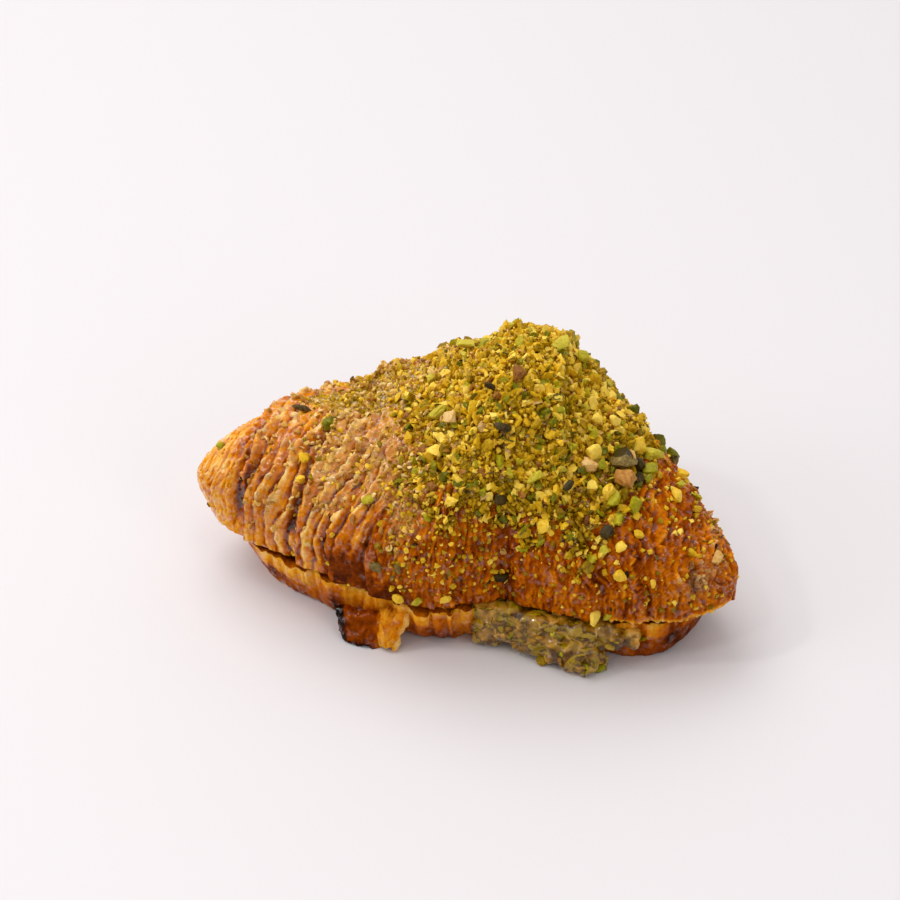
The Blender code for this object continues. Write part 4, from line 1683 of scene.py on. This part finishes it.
@dataclass
class Topping:
    """Chopped pistachios on the crown, in the heap on the right arm and in the cream."""

    crust: UpperCrust
    top: bpy.types.Object
    cream: bpy.types.Object
    flesh: NutFinish = field(default_factory=NutFinish)
    green: NutFinish = NutFinish(
        tints=stops((0.0, 96, 96, 6), (0.4, 142, 136, 8), (0.75, 178, 164, 16), (1.0, 208, 188, 60)))
    tan: NutFinish = NutFinish(
        tints=stops((0.0, 124, 74, 28), (0.35, 180, 120, 48), (0.7, 214, 162, 82), (1.0, 236, 198, 128)),
        roughness=0.42)
    # dark pieces: real dark skins, and where they fill holes between the nuts also painted shade
    skinned: NutFinish = NutFinish(
        tints=stops((0.0, 30, 18, 2), (0.4, 76, 58, 16), (0.8, 136, 114, 58), (1.0, 178, 154, 92)),
        skin=srgb(62, 50, 8))
    sunk: NutFinish = NutFinish(
        tints=stops((0.0, 114, 72, 12), (0.3, 154, 106, 30), (0.6, 186, 132, 38), (0.8, 158, 134, 8),
                    (1.0, 216, 164, 60)),
        roughness=0.22, coat=0.5)
    glazed: NutFinish = NutFinish(
        tints=stops((0.0, 170, 110, 28), (0.35, 204, 148, 52), (0.7, 230, 184, 92), (1.0, 246, 214, 142)),
        roughness=0.22, coat=0.5)

    def build(self) -> list[bpy.types.Object]:
        """Builds all the nut pieces."""
        tree = ScatterTree()
        crumb, chunk, cut, lump = (NutShapes(kind).collection() for kind in Chop)
        flesh, green = self.flesh.make("pistachio_flesh"), self.green.make("pistachio_green")
        tan, dark = self.tan.make("toasted_bits"), self.skinned.make("pistachio_skin")
        sunk, glazed = self.sunk.make("creamy_bits"), self.glazed.make("glazed_bits")
        # name, ground, shapes, cover, spacing, most per square metre, smallest, largest, lift, seed, finish
        strewn = (
            ("fine_crumbs", self.top, crumb, "nutty", 1.15, 520000, 0.8, 1.8, 0.7, 1, flesh),
            ("yellow_chunks", self.top, chunk, "nutty", 2.0, 190000, 1.8, 4.0, 1.2, 2, flesh),
            ("curled_slices", self.top, cut, "nutty", 2.6, 120000, 2.2, 4.2, 1.3, 8, flesh),
            ("green_chunks", self.top, chunk, "nutty", 3.4, 60000, 1.9, 3.8, 1.3, 3, green),
            ("toasted_chunks", self.top, chunk, "nutty", 5.0, 26000, 1.8, 3.4, 1.2, 4, tan),
            ("heaped_chunks", self.top, chunk, "heaped", 3.6, 60000, 2.6, 4.6, 1.3, 11, flesh),
            ("heaped_greens", self.top, cut, "heaped", 5.0, 36000, 2.6, 4.8, 1.5, 12, green),
            ("loose_crumbs", self.top, crumb, "sprinkled", 1.4, 420000, 0.6, 2.2, -0.2, 5, flesh),
            ("glazed_crumbs", self.top, lump, "veiled", 1.5, 420000, 1.1, 3.0, 0.0, 9, glazed),
            ("dark_bits", self.top, cut, "sprinkled", 8.0, 9000, 1.2, 2.4, 0.6, 6, dark),
            ("cream_lumps", self.cream, lump, "studded", 5.0, 30000, 2.6, 4.4, -1.3, 10, sunk),
            ("cream_bits", self.cream, cut, "studded", 6.0, 24000, 1.8, 4.0, -0.4, 7, green),
        )
        made = []
        for name, ground, shapes, cover, spacing, per_area, low, high, lift, seed, finish in strewn:
            piece = tree.strew(name, ground, shapes=shapes, cover=cover, spacing=spacing * MM,
                               per_area=float(per_area), smallest=low * MM, largest=high * MM, lift=lift * MM,
                               seed=seed, finish=finish)
            rows = vectors_of(piece.data.vertices, "co")
            rows[:, 2] = np.maximum(rows[:, 2], TABLE_GAP)
            piece.data.vertices.foreach_set("co", rows.ravel())
            log.info("%s: %d faces", name, len(piece.data.polygons))
            made.append(piece)
        for group in (crumb, chunk, cut, lump):
            for shape in list(group.objects):
                bpy.data.objects.remove(shape, do_unlink=True)
            bpy.data.collections.remove(group)
        return made


class Kind(Enum):
    """Finish of a single nut."""

    YELLOW = "yellow"
    GREEN = "green"
    TAN = "tan"
    DARK = "dark"


YELLOW, GREEN, TAN, DARK = Kind


class Nut(NamedTuple):
    """One larger nut: the pixel at which it shows, its size in mm, its turn in degrees and its looks."""

    column: int
    row: int
    long: float
    wide: float
    thick: float
    turn: float
    kind: Kind
    tint: float
    skin: float = 0.0


@dataclass
class SingleNuts:
    """The larger nuts that lie in known places, each sunk a little into what it lies on."""

    crust: UpperCrust
    topping: Topping
    view: "Studio"
    sink: float = 0.22
    lift: float = 2.0 * MM
    growth: float = 1.15
    cuts: int = 6
    edge: float = math.radians(30)
    on_crust: tuple = (
        # the heap on the right arm
        Nut(620, 460, 6.8, 5.0, 4.4, 10, DARK, 0.85, 0.5), Nut(629, 458, 3.6, 3.2, 3.0, 0, TAN, 0.75),
        Nut(635, 467, 4.0, 3.4, 3.2, 80, DARK, 0.35, 0.3), Nut(636, 475, 3.6, 3.2, 2.8, 40, DARK, 0.5, 0.5),
        Nut(650, 459, 6.2, 4.8, 2.8, 60, GREEN, 0.95), Nut(648, 471, 4.6, 3.8, 2.8, 90, GREEN, 0.6),
        Nut(649, 480, 2.8, 2.4, 2.2, 80, GREEN, 0.6), Nut(656, 442, 5.6, 3.4, 2.8, 130, GREEN, 0.15, 0.5),
        Nut(668, 457, 4.2, 3.6, 3.0, 20, GREEN, 0.3, 0.5), Nut(677, 459, 2.8, 2.4, 2.4, 80, DARK, 0.8, 0.4),
        Nut(588, 455, 4.4, 3.6, 3.0, 40, YELLOW, 0.9), Nut(590, 467, 4.0, 3.2, 2.6, 0, TAN, 0.85),
        Nut(602, 468, 3.4, 2.6, 2.4, 80, GREEN, 0.5), Nut(621, 483, 5.8, 4.4, 3.2, 15, TAN, 0.45),
        Nut(602, 496, 5.0, 3.4, 2.6, 10, YELLOW, 0.8), Nut(616, 504, 4.6, 3.2, 2.6, 85, GREEN, 0.75),
        Nut(633, 502, 4.4, 2.6, 2.4, 75, GREEN, 0.7), Nut(635, 446, 5.0, 4.2, 3.0, 20, YELLOW, 0.8),
        Nut(612, 426, 3.2, 2.8, 2.4, 0, YELLOW, 0.95), Nut(592, 425, 3.8, 2.4, 2.0, 20, YELLOW, 0.85),
        # the column below it
        Nut(618, 519, 3.6, 2.6, 2.2, 90, GREEN, 0.85), Nut(610, 533, 4.6, 2.8, 2.2, 80, DARK, 0.3, 0.7),
        Nut(606, 550, 4.2, 2.8, 2.0, 60, GREEN, 1.0), Nut(592, 559, 3.2, 2.0, 1.8, 0, GREEN, 0.85),
        Nut(621, 548, 2.8, 2.4, 2.0, 50, YELLOW, 0.9), Nut(636, 536, 3.0, 2.4, 2.0, 60, YELLOW, 0.7),
        Nut(620, 573, 3.2, 3.0, 2.0, 0, YELLOW, 0.75), Nut(653, 582, 2.6, 1.6, 1.4, 80, YELLOW, 0.8),
        # the right arm
        Nut(681, 475, 3.4, 3.0, 2.4, 30, YELLOW, 0.7), Nut(679, 486, 3.8, 2.4, 2.0, 80, GREEN, 0.95),
        Nut(674, 494, 4.6, 2.6, 2.0, 140, YELLOW, 0.85), Nut(695, 510, 3.0, 2.4, 2.0, 45, YELLOW, 0.6),
        Nut(691, 553, 2.6, 2.2, 1.8, 0, YELLOW, 0.6), Nut(717, 558, 3.8, 2.6, 1.8, 80, TAN, 0.85),
        Nut(696, 497, 2.6, 1.8, 1.6, 30, GREEN, 0.8),
        # the left arm
        Nut(329, 425, 5.4, 4.4, 3.6, 15, GREEN, 0.3, 0.6), Nut(305, 410, 5.6, 2.0, 1.6, 10, DARK, 0.55, 0.5),
        Nut(303, 458, 2.8, 2.4, 2.0, 0, YELLOW, 0.6), Nut(300, 480, 3.0, 2.2, 2.0, 20, YELLOW, 0.75),
        Nut(222, 446, 2.2, 1.8, 1.6, 0, GREEN, 0.7), Nut(367, 500, 3.0, 2.2, 1.8, 20, GREEN, 0.9),
        Nut(404, 494, 4.8, 3.4, 2.4, 0, GREEN, 0.8, 0.2),
        # the crown and its front
        Nut(511, 380, 4.4, 3.6, 2.8, 0, TAN, 0.05), Nut(486, 392, 3.0, 1.8, 1.6, 20, DARK, 0.1, 0.6),
        # the dark nuts at (497, 432), (563, 482) and (498, 503) sit in holes between the nuts and stand
        # partly for the painted shade there
        Nut(497, 432, 4.2, 2.4, 2.0, 10, DARK, 0.2, 0.5), Nut(447, 417, 5.2, 2.8, 2.2, 35, GREEN, 0.9),
        Nut(459, 419, 3.4, 3.2, 2.6, 0, TAN, 0.9), Nut(440, 456, 3.8, 3.0, 2.6, 0, YELLOW, 0.85),
        Nut(537, 475, 4.6, 2.2, 2.0, 40, GREEN, 0.9), Nut(563, 350, 5.0, 3.6, 2.4, 30, GREEN, 0.85),
        Nut(577, 362, 4.4, 3.0, 2.2, 60, GREEN, 0.7), Nut(466, 354, 4.6, 3.0, 2.4, 20, GREEN, 0.95),
        Nut(563, 482, 3.6, 2.2, 1.8, 60, DARK, 0.3, 0.5), Nut(498, 503, 3.6, 2.4, 1.8, 30, DARK, 0.35, 0.4),
        Nut(544, 526, 4.4, 3.6, 1.6, 30, YELLOW, 0.8), Nut(501, 577, 4.2, 2.4, 1.8, 0, DARK, 0.1, 0.5),
        Nut(376, 566, 3.0, 2.6, 2.2, 0, DARK, 0.7, 0.2), Nut(400, 567, 2.8, 2.4, 2.0, 30, DARK, 0.8, 0.2),
        # along the seam
        Nut(398, 597, 3.2, 2.4, 1.8, 10, YELLOW, 0.7), Nut(416, 600, 2.8, 2.2, 1.8, 40, GREEN, 0.9),
        Nut(445, 598, 3.2, 2.2, 1.8, 0, YELLOW, 0.8), Nut(593, 619, 3.8, 3.0, 1.4, 110, YELLOW, 1.0),
        Nut(607, 616, 2.8, 1.8, 1.4, 20, GREEN, 0.95),
    )
    on_table: tuple = (
        Nut(543, 663, 3.6, 2.8, 2.6, 20, YELLOW, 0.12), Nut(596, 670, 4.2, 2.6, 2.2, 0, GREEN, 0.5),
    )

    def template(self) -> tuple[Array, list]:
        """Makes a unit ball of 96 faces.

        Returns:
            Rows of x, y and z, and tuples of vertex numbers.
        """
        shape = bmesh.new()
        bmesh.ops.create_cube(shape, size=1.0)
        bmesh.ops.subdivide_edges(shape, edges=shape.edges, cuts=3, use_grid_fill=True)
        shape.verts.index_update()
        rows = np.array([vert.co for vert in shape.verts])
        faces = [tuple(vert.index for vert in face.verts) for face in shape.faces]
        shape.free()
        return rows / np.linalg.norm(rows, axis=1, keepdims=True), faces

    def chopped(self, ball: Array, number: int) -> Array:
        """Makes a ball uneven and cuts it flat on several sides.

        Args:
            ball: The ball's points.
            number: Picks one of many unlike shapes.

        Returns:
            The shape's points.
        """
        swell = 1.08 + 0.26 * waves(ball * 1.5 + 7.7 * number, 121, 2)
        swell = swell + 0.16 * waves(ball * 4 + 3.1 * number, 122)
        shape = np.sign(ball) * np.abs(ball) ** 0.8 * swell[:, None]
        for cut in range(self.cuts):
            spin = np.array([lattice(np.array([number, cut, axis]), 125) - 0.5 for axis in range(3)])
            spin /= np.linalg.norm(spin)
            over = np.maximum(shape @ spin - (0.5 + 0.35 * lattice(np.array([cut, number, 7]), 126)), 0)
            shape = shape - 0.9 * over[:, None] * spin
        return shape

    def stands(self) -> list[tuple[Nut, Vector, Vector, float]]:
        """Finds what each nut lies on.

        Returns:
            Each nut, its point on the ground, the normal there and how thickly nuts lie there, from 0 to 1.
        """
        columns, rows = self.crust.seen(self.view)
        found = []
        for nut in self.on_crust:
            near = np.argmin(np.hypot(columns - nut.column, rows - nut.row))
            spot = np.unravel_index(int(near), columns.shape)
            point, normal = Vector(self.crust.points[spot]), Vector(self.crust.normals[spot])
            found.append((nut, point, normal, float(self.crust.nutty[spot])))
        for nut in self.on_table:
            found.append((nut, self.view.table_point(nut.column, nut.row), Vector((0, 0, 1)), 0.0))
        return found

    def laid(self, shape: Array, nut: Nut, point: Vector, normal: Vector, nutty: float) -> Array:
        """Lays a nut down, turned and sunk in a little.

        Args:
            shape: The nut's points, of its true size.
            nut: The nut.
            point: Its point on the ground.
            normal: The normal there.
            nutty: How thickly nuts lie there.

        Returns:
            The nut's points where it lies.
        """
        side = (Vector((1, 0, 0)) - normal * normal.x).normalized()
        stand = Matrix((side, normal.cross(side), normal)).transposed()
        stand = stand @ Matrix.Rotation(math.radians(nut.turn), 3, "Z")
        thick = nut.thick * self.growth * MM
        centre = point + normal * (thick / 2 * (1 - 2 * self.sink) + self.lift * nutty)
        return shape @ np.array(stand).T + np.array(centre)

    def build(self) -> list[bpy.types.Object]:
        """Builds one piece for each kind of nut."""
        ball, ball_faces = self.template()
        finishes = {YELLOW: self.topping.flesh, GREEN: self.topping.green, TAN: self.topping.tan,
                    DARK: self.topping.skinned}
        stands = self.stands()
        made = []
        for kind, finish in finishes.items():
            rows, faces, tints, skins = [], [], [], []
            for number, (nut, point, normal, nutty) in enumerate(stands):
                if nut.kind is not kind:
                    continue
                size = np.array([nut.long, nut.wide, nut.thick]) * self.growth * MM
                shape = self.chopped(ball, number) * size / 2
                shape[:, 2] += 0.10 * np.abs(shape[:, 0]) * math.sin(number)
                rows.append(self.laid(shape, nut, point, normal, nutty))
                faces += [tuple(len(tints) + i for i in face) for face in ball_faces]
                tints += [nut.tint] * len(ball)
                patchy = ease(0.5 + ball[:, 1] + 0.5 * waves(ball * 2 + number, 123, 2))
                skins += list(np.clip(nut.skin * 1.6 * patchy, 0, 1))
            rows = np.concatenate(rows)
            rows[:, 2] = np.maximum(rows[:, 2], TABLE_GAP)
            piece = new_object(f"single_{kind.value}_nuts", rows, faces)
            piece.data.set_sharp_from_angle(angle=self.edge)
            store(piece, "tint", np.array(tints))
            store(piece, "skin", np.array(skins))
            piece.data.materials.append(finish.make(f"single_{kind.value}_nut"))
            made.append(piece)
        return made


# The studio -------------------------------------------------------------------


@dataclass(frozen=True)
class Studio:
    """A plain pale table, a large soft light from the upper left, and the camera."""

    azimuth: float = math.radians(17)
    elevation: float = math.radians(37)
    distance: float = 0.6
    view_width: float = 0.267
    picture: int = 900
    origin_pixel: tuple = (476, 557)
    table_size: float = 4.0
    key_place: tuple = (-0.85, 0.75, 1.75)
    key_size: float = 1.6
    key_power: float = 16.5
    fill_places: tuple = ((-1.3, -0.7, 0.75), (1.3, -0.8, 0.8))
    fill_size: float = 0.9
    fill_powers: tuple = (4.6, 3.7)
    spark_places: tuple = ((-0.75, -0.35, 1.0), (-0.35, -0.55, 1.1), (0.20, -0.15, 1.3))
    spark_size: float = 0.11
    spark_powers: tuple = (1.7, 0.7, 0.4)
    sky_lean: tuple = (-0.25, 0.35, 0.90)
    zenith: float = 0.95
    horizon: float = 0.24
    sky_colour: tuple = (1.0, 0.98, 0.985, 1.0)
    sensor: float = 36

    def axes(self) -> tuple[Vector, Vector, Vector]:
        """The camera's own directions: right, up and back."""
        sideways, ahead, level = math.sin(self.azimuth), math.cos(self.azimuth), math.cos(self.elevation)
        back = Vector((sideways * level, -ahead * level, math.sin(self.elevation)))
        right = (-back).cross(Vector((0, 0, 1))).normalized()
        return right, right.cross(-back), back

    def camera_place(self) -> Vector:
        """Where the camera stands, so that the origin shows at its pixel."""
        right, up, back = self.axes()
        pixel = self.view_width / self.picture
        place = back * self.distance - right * ((self.origin_pixel[0] - self.picture / 2) * pixel)
        return place + up * ((self.origin_pixel[1] - self.picture / 2) * pixel)

    def pixels(self, points: Array) -> tuple[Array, Array]:
        """Where the camera shows points.

        Args:
            points: The points, with x, y and z on the last axis.

        Returns:
            The image's columns and rows.
        """
        right, up, back = (np.array(axis) for axis in self.axes())
        away = points - np.array(self.camera_place())
        scale = self.distance / (-away @ back) * self.picture / self.view_width
        return self.picture / 2 + away @ right * scale, self.picture / 2 - away @ up * scale

    def table_point(self, column: float, row: float) -> Vector:
        """Finds what shows at a pixel.

        Args:
            column: The image's column.
            row: The image's row.

        Returns:
            The point of the table top.
        """
        right, up, back = self.axes()
        pixel = self.view_width / self.picture
        across, rise = (column - self.picture / 2) * pixel, (self.picture / 2 - row) * pixel
        ray = right * across + up * rise - back * self.distance
        place = self.camera_place()
        return place - ray * (place.z / ray.z)

    def camera(self) -> None:
        """Places the camera."""
        data = bpy.data.cameras.new("camera")
        data.sensor_width = self.sensor
        data.lens = self.sensor * self.distance / self.view_width
        camera = bpy.data.objects.new("camera", data)
        camera.location = self.camera_place()
        camera.rotation_euler = (-self.axes()[2]).to_track_quat("-Z", "Y").to_euler()
        bpy.context.scene.collection.objects.link(camera)
        bpy.context.scene.camera = camera

    def light(self) -> None:
        """Adds the key light, the fills and the small lights that make the highlights."""
        lamps = [("key", self.key_place, self.key_size, self.key_power)]
        for place, power in zip(self.fill_places, self.fill_powers):
            lamps.append(("fill", place, self.fill_size, power))
        for place, power in zip(self.spark_places, self.spark_powers):
            lamps.append(("spark", place, self.spark_size, power))
        for name, place, size, power in lamps:
            data = bpy.data.lights.new(name, "AREA")
            data.shape, data.size, data.energy = "DISK", size, power
            lamp = bpy.data.objects.new(name, data)
            lamp.location = place
            lamp.rotation_euler = (-Vector(place)).to_track_quat("-Z", "Y").to_euler()
            bpy.context.scene.collection.objects.link(lamp)

    def sky(self) -> None:
        """Adds a sky that is brightest above the back and to the left."""
        world = bpy.data.worlds.new("sky")
        world.use_nodes = True
        tree = world.node_tree
        direction = tree.nodes.new("ShaderNodeTexCoord").outputs["Generated"]
        split = tree.nodes.new("ShaderNodeVectorMath")
        split.operation = "DOT_PRODUCT"
        split.inputs[1].default_value = self.sky_lean
        tree.links.new(direction, split.inputs[0])
        fade = tree.nodes.new("ShaderNodeMapRange")
        fade.inputs["To Min"].default_value, fade.inputs["To Max"].default_value = self.horizon, self.zenith
        tree.links.new(split.outputs["Value"], fade.inputs["Value"])
        tree.links.new(fade.outputs["Result"], tree.nodes["Background"].inputs["Strength"])
        tree.nodes["Background"].inputs["Color"].default_value = self.sky_colour
        bpy.context.scene.world = world
        bpy.context.scene.view_settings.view_transform = "Standard"

    def table(self) -> None:
        """Adds the table top."""
        half = self.table_size / 2
        corners = np.array([(-half, -half, 0), (half, -half, 0), (half, half, 0), (-half, half, 0)])
        made = new_object("table_top", corners, [(0, 1, 2, 3)])
        made.data.materials.append(TableFinish().make("pale_table"))


def hand_over(piece: bpy.types.Object, slot: str = "", *nodes: str) -> None:
    """Lets a piece ride on the pastry.

    Args:
        piece: The piece.
        slot: Not used.
        *nodes: The CAD nodes that it stands for.
    """
    if nodes:
        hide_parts(*nodes)
    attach(piece, "root")
    log.info("%s: %d faces", piece.name, len(piece.data.polygons))


def main() -> None:
    """Builds the croissant and the studio."""
    logging.basicConfig(level=logging.INFO, format="%(message)s")
    studio = Studio()
    studio.camera()
    studio.light()
    studio.sky()
    studio.table()
    form = PastryForm()
    crust = UpperCrust(form)
    top = crust.build()
    base = LowerCrust(form)
    slab = base.build()
    cream = Cream(form, base).build()
    tongue = Tongue(form, base).build()
    drip = Tongue(form, base, "golden_drip", x=-0.0112, size=Vector((0.0090, 0.0030, 0.0098)),
                  splay=math.radians(16), drop=0.0010, proud=0.0002, curl=0.0012, lean=-0.0012, taper=0.35,
                  bake=0.30, scorch=0.0).build()
    topping = Topping(crust, top, cream)
    nuts = topping.build() + SingleNuts(crust, topping, studio).build()
    hand_over(top, "baked_crust", "upper_crust")
    hand_over(slab, "golden_rim", "lower_crust")
    hand_over(tongue, "golden_rim")
    hand_over(drip, "golden_rim")
    hand_over(cream, "pistachio_cream", "pistachio_cream")
    for piece in nuts:
        hand_over(piece)


if __name__ == "__main__":
    main()
